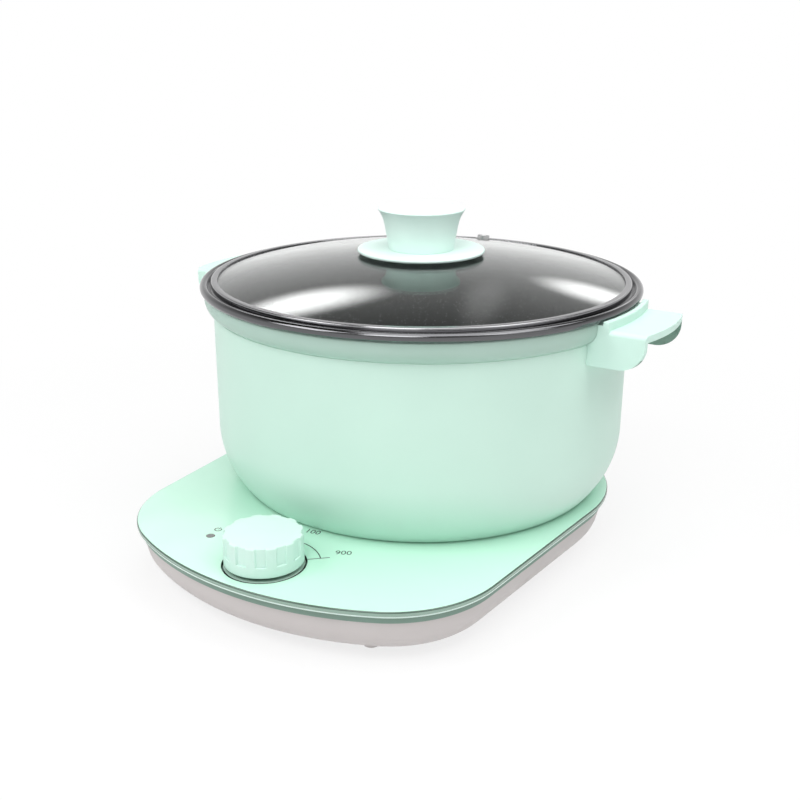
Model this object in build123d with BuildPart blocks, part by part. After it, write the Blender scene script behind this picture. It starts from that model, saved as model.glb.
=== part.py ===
from build123d import *
from math import cos, hypot, radians, sin, sqrt, tan
import os

# Split electric hot pot: an induction base with one dial, a pot that lifts off the
# glass hob, and a glass lid that lifts off the pot.
#
# Millimetres. +Z is up and z = 0 is the table. The user stands at -Y, where the dial
# is, and +X is the user's right. The origin lies under the middle of the product.

os.makedirs("parts", exist_ok=True)


# ---------------------------------------------------------------- driving sizes: base

foot_stand = 5.0            # how far the rubber feet hold the base off the table
tray_height = 23.6          # lower housing, outside
band_height = 5.4           # upper housing below the glass
glass_thickness = 3.0

hob_width = 254.9           # at the middle of the hob
hob_length = 317.4
side_taper = 3.9            # degrees: each side leans out towards the back
front_bow_radius = 187.9
front_corner_radius = 70.3
back_bow_radius = 135.4
back_corner_radius = 93.0
pot_setback = 41.4          # pot axis behind the middle of the hob
dial_from_front = 30.6      # dial axis behind the front edge of the glass

lip_inset = 0.8             # edges of the base, counted inwards from the glass
band_inset = 3.0
tray_inset = 3.9
lip_height = 1.0
deck_thickness = 2.0
band_wall = 2.2
tray_wall = 2.2
tray_draft = 10.0           # degrees
tray_edge_radius = 19.0
tongue_depth = 3.0          # upper housing's rim inside the tray
fit_gap = 0.3               # between parts that are assembled
seat_gap = 0.1              # between parts that are screwed down close
glass_edge_radius = 0.7

foot_radius = 9.0
foot_pocket_depth = 1.0
foot_rounding = 1.2
foot_spread_front = 52.0    # half distances between feet
foot_spread_back = 74.0
foot_y_front = -110.0       # from the middle of the hob
foot_y_back = 92.0

screw_radius = 1.5
screw_head_radius = 2.9
screw_head_height = 1.8
thread_gap = 0.05           # pilot hole over its screw, on the radius
boss_radius = 4.2
boss_clearance = 9.0        # side bosses stand this far inside the tray's wall
front_boss_spread = 70.0
front_boss_setback = 34.0
back_boss_angle = 39.8      # degrees from +X, seen from the pot axis
back_boss_gap = 1.1         # between these bosses and the coil's opening
boss_joint_height = 20.0    # where the two housings' screw bosses meet
screw_seat_height = 12.0
screw_grip = 8.0            # thread in the upper boss
small_screw_radius = 1.2
small_screw_length = 6.0
small_screw_head_radius = 2.4
small_screw_head_height = 1.5
fan_screw_bite = 1.5
vent_slot_width = 2.6
vent_slot_length = 36.0
vent_pitch = 5.5
vent_rows = 7
exhaust_spread = 42.0
exhaust_setback = 62.0
tongue_wall = 1.5

# ---------------------------------------------------------------- driving sizes: dial

dial_radius = 22.8
dial_height = 19.7          # above the glass
dial_lift = 2.1             # foot of the dial's skirt above the glass
dial_skirt = 8.4            # foot of the flutes above the glass
first_flute = 2.8           # degrees from +X
flute_count = 12
flute_width = 6.8
flute_depth = 1.1
dial_wall = 2.4
dial_hole_radius = 24.05
dial_cup_bore = 15.0        # opening in the flat ring round the dial
dial_cup_floor = 1.2
dial_top_rounding = 0.8
bush_rise = 1.4             # top of the bush above the glass
stem_gap = 1.2              # dial's stem over the bush
shaft_drop = 3.0            # top of the shaft below the dial's top
shaft_flat_depth = 1.0
shaft_radius = 3.0
shaft_running_gap = 0.05
bush_radius = 4.5
encoder_size = 13.0
encoder_height = 6.2
board_thickness = 1.6

# ------------------------------------------------------- driving sizes: heating, cooling

coil_inner_radius = 26.0
coil_pitch = 6.0            # one full turn grows the radius by this much
coil_turns = 10
coil_wire_width = 4.2
coil_wire_height = 3.4
mica_thickness = 0.6
former_thickness = 2.0
former_rim_radius = 98.0
former_rim_width = 5.0
former_hub_radius = 22.0
former_post_angles = (30, 150, 270)
former_arm_count = 8
former_arm_width = 12.0
ferrite_length = 52.0
ferrite_width = 8.0
ferrite_height = 4.0
sensor_radius = 6.0
mica_margin = 2.0           # mica sheet beyond the coil's former
coil_opening_gap = 4.0      # deck's opening round the mica sheet
post_radius = 4.0
sensor_flange = 3.0         # width of its flange under the former
sensor_flange_height = 1.5
sensor_gap = 1.5            # round the sensor in the mica sheet
ferrite_gap = 6.0           # ferrite bars outside the former's hub

board_stand = 3.0           # power board above the tray's floor
power_board_x = -67.0
power_board_y = -52.0
power_board_width = 62.0
power_board_length = 100.0
sink_length = 48.0
sink_width = 26.0
sink_base = 3.0
sink_height = 15.0
sink_margin = 9.0           # from the board's front edge
fin_count = 8
fin_thickness = 1.3
transistor_width = 15.5
transistor_depth = 5.0
transistor_height = 11.0
capacitor_width = 11.0
capacitor_length = 26.0
capacitor_height = 10.0
capacitor_spacing = 30.0
board_screw_edge = 4.5      # screws in from the board's edges
board_post_radius = 3.2
capacitor_shift = 14.0      # behind the middle of the board
choke_radius = 9.0
choke_bore_radius = 4.2
choke_height = 8.0
choke_shift = 38.0
control_post_x = 21.0
control_board_left = -54.0
control_board_right = 26.0
control_board_width = 26.0
switch_lift = 1.2           # rotary switch off its board
board_corner = 1.5
indicator_x = -48.6
indicator_behind_dial = 9.7
indicator_radius = 2.5

fan_x = 60.0
fan_y = -80.0
fan_frame_size = 62.0
fan_height = 15.0
fan_bore_radius = 28.5
fan_hub_radius = 12.5
fan_blade_count = 9
fan_blade_thickness = 1.4
fan_tip_gap = 1.2
fan_spindle_radius = 1.5
fan_screw_edge = 4.0        # screws in from the frame's edges
fan_arm_width = 4.0
fan_hub_gap = 0.6           # hub over the floor and under the top of the frame
fan_spindle_lift = 0.4
fan_hub_wall = 2.0

inlet_width = 28.0
inlet_height = 19.0
inlet_wall = 1.6
inlet_depth = 22.0
inlet_socket_depth = 16.0
inlet_pin_gap = 14.0
inlet_boss_wall = 2.2
inlet_clearance = 1.0       # above the tray's floor
inlet_flange = 1.5
inlet_corner = 1.5
inlet_pin_drop = 2.0        # outer pins below the socket's middle
inlet_pin_rise = 4.0        # middle pin above it

# ----------------------------------------------------------------- driving sizes: pot

pot_height = 128.3          # hob to rim
pot_wall_radius = 134.1     # outside, just under the collar
belly_radius = 134.0        # outside, where the wall turns into the bottom
belly_height = 40.0
foot_ring_radius = 118.4
pot_wall = 2.8
pot_floor = 4.6
pot_corner_radius = 8.0
collar_radius = 139.5
collar_height = 12.8
collar_face_height = 4.3
rim_rounding = 0.7
disc_radius = 104.0
disc_thickness = 1.6

grip_reach = 169.0          # outer edge of both grips, from the pot axis
grip_edge_radius = 113.6    # curve of that edge
grip_drop = 3.3             # top of the grip below the pot's rim
grip_thickness = 4.0
grip_depth = 22.0           # grip top to the bottom of its cheeks
handle_width = 64.0
cheek_thickness = 2.4
cheek_corner_radius = 15.0
handle_root_radius = 144.0  # back wall of the finger space
guard_rise = 1.9            # upstand between the grip and the lid, above the rim
guard_inner_radius = 142.8
guard_thickness = 3.5
guard_rounding = 0.8
grip_rounding = 3.0
ledge_drop = 0.8            # ledge behind the guard, below the rim
stud_drop = 16.5            # axis of the studs below the top of the grip
stud_spacing = 28.0
stud_radius = 2.9
handle_screw_radius = 1.75
handle_screw_head_radius = 3.6
handle_screw_head_height = 2.4
handle_screw_gap = 0.2      # round the screws in the handle
screw_wall = 2.0            # handle's wall between the stud and the screw's head
stud_setback = 5.4          # end of the studs behind the finger space
stud_bore_start = 0.6       # thread starts this far outside the pot's wall
screw_end_gap = 0.2

# ----------------------------------------------------------------- driving sizes: lid

bead_radius = 2.7           # rolled edge of the lid's ring
lid_radius = 142.0          # outside of the bead
ring_lip_radius = 130.8     # where the ring's lip ends on the glass
ring_seat_radius = 134.0    # glass seat in the ring
ring_gauge = 0.9
ring_glass_gap = 0.1        # glass to its seat and to the lip
cove_drop = 0.4             # foot of the cove below the end of the bead
cove_depth = 0.6
bead_end_angle = 160.0      # degrees from +X
bead_middle_angle = 125.0
skirt_gap = 0.8             # between the lid's skirt and the pot's wall
skirt_depth = 6.3
lid_glass_radius = 133.5
lid_glass_thickness = 4.0
lid_glass_edge_rise = 5.3   # top of the glass at its edge, above the pot's rim
lid_glass_rise = 16.0

vent_x = -13.0
vent_y = 111.0
vent_bore_radius = 1.6
vent_tube_radius = 3.2
vent_flange_radius = 5.4
vent_flange_height = 1.0
vent_rounding = 0.6

saucer_radius = 41.1
saucer_height = 1.7         # from its foot to the outside of its rim
saucer_edge = 2.2
saucer_thickness = 1.4      # over the gasket
saucer_flat = 2.0           # its flat foot beyond the gasket
saucer_rim_width = 3.0
saucer_rim_rise = 0.2       # the rim falls this much outwards
saucer_rounding = 1.0
saucer_floor_radius = 27.0
gasket_radius = 15.0
gasket_height = 0.6
knob_height = 26.3
knob_rim_radius = 28.0
knob_waist_radius = 23.6
knob_foot_radius = 21.0
knob_waist_height = 15.0
knob_wall = 4.0
knob_post_radius = 7.5
knob_top_wall = 3.0
knob_top_dish = 1.4
knob_rim_width = 3.2
knob_edge_round = 0.9
knob_dish_edge = 0.8
lid_screw_radius = 2.5
lid_screw_head_radius = 5.0
lid_screw_head_height = 3.0
lid_screw_gap = 0.5         # round the screw in the glass and the saucer
lid_screw_rounding = 1.2
washer_radius = 9.0
washer_thickness = 1.2


# ------------------------------------------------------------------- derived places

hob_z = foot_stand + tray_height + band_height + glass_thickness
glass_z = hob_z - glass_thickness
tray_top_z = foot_stand + tray_height
deck_z = glass_z - deck_thickness
tray_floor_z = foot_stand + tray_wall

front_reach = hob_length / 2 + pot_setback
back_reach = max(lid_radius, hob_length / 2 - pot_setback)
pot_y = (front_reach - back_reach) / 2
hob_y = pot_y - pot_setback
front_y = hob_y - hob_length / 2
back_y = hob_y + hob_length / 2
dial_y = front_y + dial_from_front

pot_axis = Axis((0, pot_y, 0), (0, 0, 1))
dial_axis = Axis((0, dial_y, 0), (0, 0, 1))
# Profiles of the turned parts: across is the radius, up is the height above the hob.
pot_profile_plane = Plane(origin=(0, pot_y, hob_z), x_dir=(1, 0, 0), z_dir=(0, -1, 0))
dial_profile_plane = Plane(origin=(0, dial_y, hob_z), x_dir=(1, 0, 0), z_dir=(0, -1, 0))

# The glass of the lid is part of a sphere.
dome_radius = (lid_glass_radius**2 + lid_glass_rise**2) / (2 * lid_glass_rise)
dome_top = pot_height + lid_glass_edge_rise + lid_glass_rise


def dome_height(radius, below=0.0):
    """Height above the hob of the lid's glass, at a radius and a depth in the glass."""
    return dome_top - dome_radius + sqrt((dome_radius - below) ** 2 - radius**2)


def level(height):
    """Horizontal plane at a height above the table."""
    return Plane.XY.offset(height)


def over_pot(height):
    """Horizontal plane with its origin on the pot axis."""
    return Plane((0, pot_y, height))


def save(node, name):
    """Label a finished piece and write it to its own file."""
    node.part.label = name
    export_step(node.part, f"parts/{name}.step")


# --------------------------------------------------------------------- shared shapes


def hob_plan(plane, inset=0.0):
    """Plan of the base: bowed front and back, leaning sides, four round corners."""
    half_front = hob_width / 2 - tan(radians(side_taper)) * hob_length / 2
    half_back = hob_width / 2 + tan(radians(side_taper)) * hob_length / 2
    with BuildSketch(plane) as plan:
        with BuildLine():
            Polyline(
                (-half_front, front_y), (half_front, front_y),
                (half_back, back_y), (-half_back, back_y), close=True,
            )
        make_face()
        with Locations((0, front_y + front_bow_radius)):
            Circle(front_bow_radius, mode=Mode.INTERSECT)
        with BuildSketch(mode=Mode.INTERSECT):
            with Locations((0, back_y - back_bow_radius)):
                Circle(back_bow_radius)
                Rectangle(2 * hob_width, hob_length, align=(Align.CENTER, Align.MAX))
        corners = plan.vertices().group_by(Axis.Y)
        fillet(corners[0], front_corner_radius)
        corners = plan.vertices().group_by(Axis.Y)
        fillet(corners[-1], back_corner_radius)
        if inset:
            offset(amount=-inset, mode=Mode.REPLACE)
    return plan.sketch


def tray_shape(inset, floor_z, edge_radius):
    """Solid bowl under the band: drafted walls and a large round lower edge."""
    with BuildPart() as bowl:
        add(hob_plan(level(tray_top_z), inset))
        extrude(amount=floor_z - tray_top_z, taper=tray_draft)
        fillet(bowl.faces().sort_by(Axis.Z)[0].edges(), edge_radius)
    return bowl.part


def pot_outside(grow=0.0):
    """Profile of the pot's outside, from its foot to the rim."""
    with BuildSketch(pot_profile_plane) as profile:
        with BuildLine():
            Polyline((foot_ring_radius, 0), (0, 0), (0, pot_height), (collar_radius, pot_height),
                     (collar_radius, pot_height - collar_face_height))
            TangentArc((collar_radius, pot_height - collar_face_height),
                       (pot_wall_radius, pot_height - collar_height), tangent=(0, -1))
            Line((pot_wall_radius, pot_height - collar_height), (belly_radius, belly_height))
            TangentArc((belly_radius, belly_height), (foot_ring_radius, 0), tangent=(0, -1))
        make_face()
        if grow:
            offset(amount=grow, mode=Mode.REPLACE)
            reach = 2 * (collar_radius + pot_height)
            Rectangle(reach, reach, align=(Align.MIN, Align.CENTER), mode=Mode.INTERSECT)
    return profile.sketch


# ------------------------------------------------------------------- screw positions

# Six screws hold the two housings together: two in the front corners, four round the
# sides and the back, each on a boss just inside the tray's wall.
boss_inset = tray_inset + tray_wall + boss_radius + boss_clearance
side_boss_spread = hob_width / 2 - boss_inset
front_boss_y = front_y + front_boss_setback
coil_opening_radius = former_rim_radius + mica_margin + coil_opening_gap
back_boss_reach = coil_opening_radius + back_boss_gap + boss_radius
back_boss_x = back_boss_reach * cos(radians(back_boss_angle))
back_boss_y = pot_y + back_boss_reach * sin(radians(back_boss_angle))
boss_points = [
    (-front_boss_spread, front_boss_y), (front_boss_spread, front_boss_y),
    (-side_boss_spread, hob_y), (side_boss_spread, hob_y),
    (-back_boss_x, back_boss_y), (back_boss_x, back_boss_y),
]
foot_points = [
    (-foot_spread_front, hob_y + foot_y_front), (foot_spread_front, hob_y + foot_y_front),
    (-foot_spread_back, hob_y + foot_y_back), (foot_spread_back, hob_y + foot_y_back),
]

# Heights inside the base, from the glass down.
coil_top_z = glass_z - mica_thickness
coil_z = coil_top_z - coil_wire_height
former_z = coil_z - former_thickness
ferrite_z = former_z - ferrite_height
former_post_spread = former_rim_radius - former_rim_width

control_board_z = deck_z - encoder_height - board_thickness - switch_lift
control_board_top_z = control_board_z + board_thickness
indicator_y = dial_y + indicator_behind_dial

inlet_z = tray_floor_z + inlet_height / 2 + inlet_clearance
inlet_top_z = inlet_z + inlet_height / 2 + fit_gap
inlet_face_y = back_y - tray_inset
power_board_z = tray_floor_z + board_stand
power_board_top_z = power_board_z + board_thickness
fan_z = tray_floor_z

former_posts = [(former_post_spread * cos(radians(a)), pot_y + former_post_spread * sin(radians(a)))
                for a in former_post_angles]
board_posts = [(power_board_x + i * (power_board_width / 2 - board_screw_edge),
                power_board_y + j * (power_board_length / 2 - board_screw_edge))
               for i in (-1, 1) for j in (-1, 1)]
fan_screw_spread = fan_frame_size / 2 - fan_screw_edge
fan_screws = [(fan_x + i * fan_screw_spread, fan_y + j * fan_screw_spread)
              for i in (-1, 1) for j in (-1, 1)]
control_posts = [(-control_post_x, dial_y), (control_post_x, dial_y)]
exhaust_y = back_y - exhaust_setback
vent_fields = [(fan_x, fan_y), (-exhaust_spread, exhaust_y), (exhaust_spread, exhaust_y)]


def inlet_plane(outwards):
    """Upright plane facing backwards, at a distance outside the tray's back edge."""
    return Plane((0, inlet_face_y + outwards, inlet_z), x_dir=(-1, 0, 0), z_dir=(0, 1, 0))


def small_screw(x, y, seat, length, head_up=True):
    """Small screw with the underside of its head at the seat's height."""
    head, shank = (Align.MIN, Align.MAX) if head_up else (Align.MAX, Align.MIN)
    with Locations((x, y, seat)):
        Cylinder(small_screw_head_radius, small_screw_head_height,
                 align=(Align.CENTER, Align.CENTER, head))
        Cylinder(small_screw_radius, length, align=(Align.CENTER, Align.CENTER, shank))


def screw_pilots(points, top, depth):
    """Blind holes for small screws, downwards from the top of their posts."""
    with Locations(*[(x, y, top) for x, y in points]):
        Cylinder(small_screw_radius + thread_gap, depth,
                 align=(Align.CENTER, Align.CENTER, Align.MAX), mode=Mode.SUBTRACT)


# ------------------------------------------------------------------- base: housings

with BuildPart() as hob_glass:
    add(hob_plan(level(glass_z)))
    extrude(amount=glass_thickness)
    fillet(hob_glass.faces().sort_by(Axis.Z)[-1].edges(), glass_edge_radius)
    with BuildSketch(Plane((0, dial_y, glass_z))):
        Circle(dial_hole_radius)
    extrude(amount=glass_thickness, mode=Mode.SUBTRACT)
save(hob_glass, "hob_glass")

# The upper housing: a deck under the glass, a thin lip round the glass, a band set in
# under the lip, and a tongue that drops inside the tray.
tongue_inset = tray_inset + tray_wall + tan(radians(tray_draft)) * tongue_depth + fit_gap

with BuildPart() as upper_housing:
    add(hob_plan(level(tray_top_z), band_inset))
    extrude(amount=band_height)
    add(hob_plan(level(glass_z - lip_height), lip_inset))
    extrude(amount=lip_height)
    add(hob_plan(level(tray_top_z), band_inset + band_wall))
    extrude(amount=deck_z - tray_top_z, mode=Mode.SUBTRACT)
    with BuildSketch(level(tray_top_z - tongue_depth)):
        add(hob_plan(Plane.XY, tongue_inset))
        add(hob_plan(Plane.XY, tongue_inset + tongue_wall), mode=Mode.SUBTRACT)
        with Locations((0, back_y)):
            Rectangle(inlet_width + 4 * inlet_boss_wall, 2 * inlet_depth, mode=Mode.SUBTRACT)
    extrude(amount=deck_z - tray_top_z + tongue_depth)
    with BuildSketch(level(deck_z)):
        with Locations((0, pot_y)):
            Circle(coil_opening_radius)
        with Locations((0, dial_y)):
            Circle(bush_radius + fit_gap)
        with Locations((indicator_x, indicator_y)):
            Circle(indicator_radius + fit_gap)
    extrude(amount=deck_thickness, mode=Mode.SUBTRACT)
    with BuildSketch(level(boss_joint_height)):
        with Locations(*boss_points):
            Circle(boss_radius)
            Circle(screw_radius + thread_gap, mode=Mode.SUBTRACT)
    extrude(amount=deck_z - boss_joint_height)
    with BuildSketch(level(control_board_top_z)):
        with Locations(*control_posts):
            Circle(boss_radius - 1)
            Circle(small_screw_radius + thread_gap, mode=Mode.SUBTRACT)
    extrude(amount=deck_z - control_board_top_z)
save(upper_housing, "upper_housing")

with BuildPart() as lower_housing:
    add(tray_shape(tray_inset, foot_stand, tray_edge_radius))
    add(tray_shape(tray_inset + tray_wall, tray_floor_z, tray_edge_radius - tray_wall),
        mode=Mode.SUBTRACT)
    # screw bosses, coil posts and board posts
    with BuildSketch(level(foot_stand + tray_wall / 2)):
        with Locations(*boss_points):
            Circle(boss_radius)
    extrude(amount=boss_joint_height - foot_stand - tray_wall / 2)
    with BuildSketch(level(tray_floor_z - tray_wall / 2)):
        with Locations(*former_posts):
            Circle(post_radius)
    extrude(amount=former_z - tray_floor_z + tray_wall / 2)
    with BuildSketch(level(tray_floor_z - tray_wall / 2)):
        with Locations(*board_posts):
            Circle(board_post_radius)
    extrude(amount=power_board_z - tray_floor_z + tray_wall / 2)
    screw_pilots(former_posts, former_z, small_screw_length)
    screw_pilots(board_posts, power_board_z, board_stand)
    screw_pilots(fan_screws, fan_z, fan_screw_bite)
    # a square snout at the back holds the mains inlet
    with BuildSketch(level(foot_stand + tray_wall / 2)):
        with Locations((0, inlet_face_y)):
            Rectangle(inlet_width + 2 * (fit_gap + inlet_boss_wall), inlet_depth,
                      align=(Align.CENTER, Align.MAX))
    extrude(amount=inlet_top_z - foot_stand - tray_wall / 2)
    with BuildSketch(inlet_plane(0)):
        Rectangle(inlet_width + 2 * fit_gap, inlet_height + 2 * fit_gap)
    extrude(amount=inlet_depth, both=True, mode=Mode.SUBTRACT)
    # holes for the screws, with their heads sunk from below
    with Locations(*[(x, y, screw_seat_height) for x, y in boss_points]):
        Cylinder(screw_radius + fit_gap, 2 * tray_height, mode=Mode.SUBTRACT)
        Cylinder(screw_head_radius + fit_gap, tray_height,
                 align=(Align.CENTER, Align.CENTER, Align.MAX), mode=Mode.SUBTRACT)
    with Locations(*[(x, y, foot_stand) for x, y in foot_points]):
        Cylinder(foot_radius + seat_gap, foot_pocket_depth,
                 align=(Align.CENTER, Align.CENTER, Align.MIN), mode=Mode.SUBTRACT)
    # air slots: intake under the fan, exhaust under the back of the coil
    with BuildSketch(level(foot_stand)):
        with Locations(*vent_fields):
            with GridLocations(0, vent_pitch, 1, vent_rows):
                SlotOverall(vent_slot_length, vent_slot_width)
    extrude(amount=tray_wall, mode=Mode.SUBTRACT)
save(lower_housing, "lower_housing")

with BuildPart() as rubber_feet:
    with BuildSketch(Plane.XY):
        with Locations(*foot_points):
            Circle(foot_radius)
    extrude(amount=foot_stand + foot_pocket_depth)
    fillet(rubber_feet.faces().group_by(Axis.Z)[0].edges(), foot_rounding)
save(rubber_feet, "rubber_feet")

with BuildPart() as housing_screws:
    with Locations(*[(x, y, screw_seat_height) for x, y in boss_points]):
        Cylinder(screw_head_radius, screw_head_height, align=(Align.CENTER, Align.CENTER, Align.MAX))
        Cylinder(screw_radius, boss_joint_height - screw_seat_height + screw_grip,
                 align=(Align.CENTER, Align.CENTER, Align.MIN))
save(housing_screws, "housing_screws")


# ------------------------------------------------------------------- base: mains inlet

inlet_flange_width = inlet_width + 2 * inlet_flange
inlet_flange_height = inlet_height + 2 * fit_gap + 1
with BuildPart() as mains_inlet:
    with BuildSketch(inlet_plane(0)):
        RectangleRounded(inlet_width, inlet_height, inlet_corner)
    extrude(amount=-inlet_depth)
    with BuildSketch(inlet_plane(0)):
        RectangleRounded(inlet_flange_width, inlet_flange_height, inlet_corner)
    extrude(amount=inlet_flange)
    with BuildSketch(inlet_plane(inlet_flange)):
        RectangleRounded(inlet_width - 2 * inlet_wall, inlet_height - 2 * inlet_wall, 2)
    extrude(amount=-inlet_socket_depth - inlet_flange, mode=Mode.SUBTRACT)
save(mains_inlet, "mains_inlet")

inlet_pin_width = 2.0
inlet_pin_height = 4.0
inlet_pin_recess = 2.0
inlet_pin_points = [(-inlet_pin_gap / 2, -inlet_pin_drop), (inlet_pin_gap / 2, -inlet_pin_drop),
                    (0, inlet_pin_rise)]

with BuildPart() as inlet_pins:
    with BuildSketch(inlet_plane(-inlet_socket_depth)):
        with Locations(*inlet_pin_points):
            Rectangle(inlet_pin_width, inlet_pin_height)
    extrude(amount=inlet_socket_depth - inlet_pin_recess)
save(inlet_pins, "inlet_pins")


# ------------------------------------------------------------------- base: dial

cup_radius = dial_hole_radius - fit_gap
with BuildPart() as dial_cup:
    with BuildSketch(Plane((0, dial_y, glass_z))):
        Circle(cup_radius)
    extrude(amount=glass_thickness)
    with BuildSketch(Plane((0, dial_y, glass_z + dial_cup_floor))):
        Circle(dial_cup_bore)
    extrude(amount=glass_thickness, mode=Mode.SUBTRACT)
    with BuildSketch(Plane((0, dial_y, glass_z))):
        Circle(bush_radius + fit_gap)
    extrude(amount=dial_cup_floor, mode=Mode.SUBTRACT)
save(dial_cup, "dial_cup")

bush_top_z = hob_z + bush_rise
nut_height = 2.0
nut_width = 13.0            # across the flats
with BuildPart() as encoder:
    with BuildSketch(Plane((0, dial_y, control_board_top_z))):
        Rectangle(encoder_size, encoder_size)
    extrude(amount=encoder_height)
    with BuildSketch(Plane((0, dial_y, control_board_top_z + encoder_height))):
        Circle(bush_radius)
    extrude(amount=bush_top_z - control_board_top_z - encoder_height)
    with BuildSketch(Plane((0, dial_y, control_board_top_z + 1))):
        Circle(shaft_radius + shaft_running_gap)
    extrude(amount=bush_top_z - control_board_top_z, mode=Mode.SUBTRACT)
save(encoder, "encoder")

with BuildPart() as encoder_nut:
    with BuildSketch(Plane((0, dial_y, glass_z + dial_cup_floor))):
        RegularPolygon(nut_width / 2, 6, major_radius=False)
        Circle(bush_radius + thread_gap, mode=Mode.SUBTRACT)
    extrude(amount=nut_height)
save(encoder_nut, "encoder_nut")

with BuildPart() as control_board:
    with BuildSketch(level(control_board_z)):
        with Locations(((control_board_left + control_board_right) / 2, dial_y)):
            RectangleRounded(control_board_right - control_board_left, control_board_width,
                             board_corner)
        with Locations(*control_posts):
            Circle(small_screw_radius + seat_gap, mode=Mode.SUBTRACT)
    extrude(amount=board_thickness)
save(control_board, "control_board")

with BuildPart() as indicator_light:
    with BuildSketch(Plane((indicator_x, indicator_y, control_board_top_z))):
        Circle(indicator_radius)
    extrude(amount=glass_z - control_board_top_z)
save(indicator_light, "indicator_light")

# The dial: a cup turned upside down with a plain skirt, twelve flutes and a stem.
dial_bore = dial_radius - dial_wall - flute_depth
stem_radius = 6.2
stem_foot = bush_rise + stem_gap
shaft_top = dial_height - shaft_drop
with BuildPart() as dial_knob:
    with BuildSketch(dial_profile_plane):
        with Locations((0, dial_lift)):
            Rectangle(dial_radius, dial_height - dial_lift, align=Align.MIN)
    revolve(axis=dial_axis)
    fillet(dial_knob.faces().sort_by(Axis.Z)[-1].edges(), dial_top_rounding)
    with BuildSketch(Plane((0, dial_y, hob_z + dial_skirt))):
        with PolarLocations(dial_radius, flute_count, first_flute):
            Rectangle(2 * flute_depth, flute_width)
    extrude(amount=dial_height, mode=Mode.SUBTRACT)
    with BuildSketch(Plane((0, dial_y, hob_z + dial_lift))):
        Circle(dial_bore)
    extrude(amount=dial_height - dial_lift - dial_wall, mode=Mode.SUBTRACT)
    with BuildSketch(Plane((0, dial_y, hob_z + stem_foot))):
        Circle(stem_radius)
    extrude(amount=dial_height - stem_foot - dial_wall / 2)
    with BuildSketch(Plane((0, dial_y, hob_z + stem_foot))):
        Circle(shaft_radius)
        with Locations((0, shaft_radius)):
            Rectangle(2 * shaft_radius, 2 * shaft_flat_depth, mode=Mode.SUBTRACT)
    extrude(amount=shaft_top - stem_foot, mode=Mode.SUBTRACT)
save(dial_knob, "dial_knob")

with BuildPart() as dial_shaft:
    with BuildSketch(Plane((0, dial_y, control_board_top_z + switch_lift))):
        Circle(shaft_radius)
    extrude(amount=hob_z + shaft_top - control_board_top_z - switch_lift)
    with BuildSketch(Plane((0, dial_y, hob_z + stem_foot))):
        with Locations((0, shaft_radius)):
            Rectangle(2 * shaft_radius, 2 * shaft_flat_depth)
    extrude(amount=shaft_top, mode=Mode.SUBTRACT)
save(dial_shaft, "dial_shaft")


# ------------------------------------------------------------------- base: heating

with BuildPart() as mica_sheet:
    with BuildSketch(over_pot(coil_top_z)):
        Circle(former_rim_radius + mica_margin)
        Circle(sensor_radius + sensor_gap, mode=Mode.SUBTRACT)
    extrude(amount=mica_thickness)
save(mica_sheet, "mica_sheet")


def spiral_side(shift):
    """One long side of the flat coil: half circles about two centres in turn."""
    points = []
    for half in range(2 * coil_turns):
        radius = coil_inner_radius + (half + 0.5) * coil_pitch / 2 + shift
        centre = coil_pitch / 4 if half % 2 else -coil_pitch / 4
        turn = 1 if half % 2 == 0 else -1
        start = (centre + turn * radius, 0)
        end = (centre - turn * radius, 0)
        ThreePointArc(start, (centre, turn * radius), end)
        points += [start, end]
    return points[0], points[-1]


with BuildPart() as induction_coil:
    with BuildSketch(over_pot(coil_z)):
        with BuildLine():
            inner_start, inner_end = spiral_side(-coil_wire_width / 2)
            outer_start, outer_end = spiral_side(coil_wire_width / 2)
            Line(inner_start, outer_start)
            Line(inner_end, outer_end)
        make_face()
    extrude(amount=coil_wire_height)
save(induction_coil, "induction_coil")

with BuildPart() as coil_former:
    with BuildSketch(over_pot(former_z)):
        Circle(former_rim_radius)
        Circle(former_rim_radius - former_rim_width, mode=Mode.SUBTRACT)
        Circle(former_hub_radius)
        with PolarLocations((former_post_spread + former_hub_radius) / 2, former_arm_count):
            Rectangle(former_post_spread - former_hub_radius + 4, former_arm_width)
        with PolarLocations(former_post_spread, len(former_post_angles), former_post_angles[0]):
            Circle(post_radius + 2)
            Circle(small_screw_radius + seat_gap, mode=Mode.SUBTRACT)
        Circle(sensor_radius + fit_gap, mode=Mode.SUBTRACT)
    extrude(amount=former_thickness)
save(coil_former, "coil_former")

with BuildPart() as ferrite_bars:
    with BuildSketch(over_pot(ferrite_z)):
        with PolarLocations(former_hub_radius + ferrite_length / 2 + ferrite_gap, former_arm_count):
            Rectangle(ferrite_length, ferrite_width)
    extrude(amount=ferrite_height)
save(ferrite_bars, "ferrite_bars")

with BuildPart() as temperature_sensor:
    with BuildSketch(over_pot(former_z)):
        Circle(sensor_radius)
    extrude(amount=glass_z - former_z)
    with BuildSketch(over_pot(former_z - sensor_flange_height)):
        Circle(sensor_radius + sensor_flange)
    extrude(amount=sensor_flange_height)
save(temperature_sensor, "temperature_sensor")


# ------------------------------------------------------------------- base: power, cooling

with BuildPart() as power_board:
    with BuildSketch(level(power_board_z)):
        with Locations((power_board_x, power_board_y)):
            RectangleRounded(power_board_width, power_board_length, 2)
        with Locations(*board_posts):
            Circle(small_screw_radius + seat_gap, mode=Mode.SUBTRACT)
    extrude(amount=board_thickness)
save(power_board, "power_board")

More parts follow.
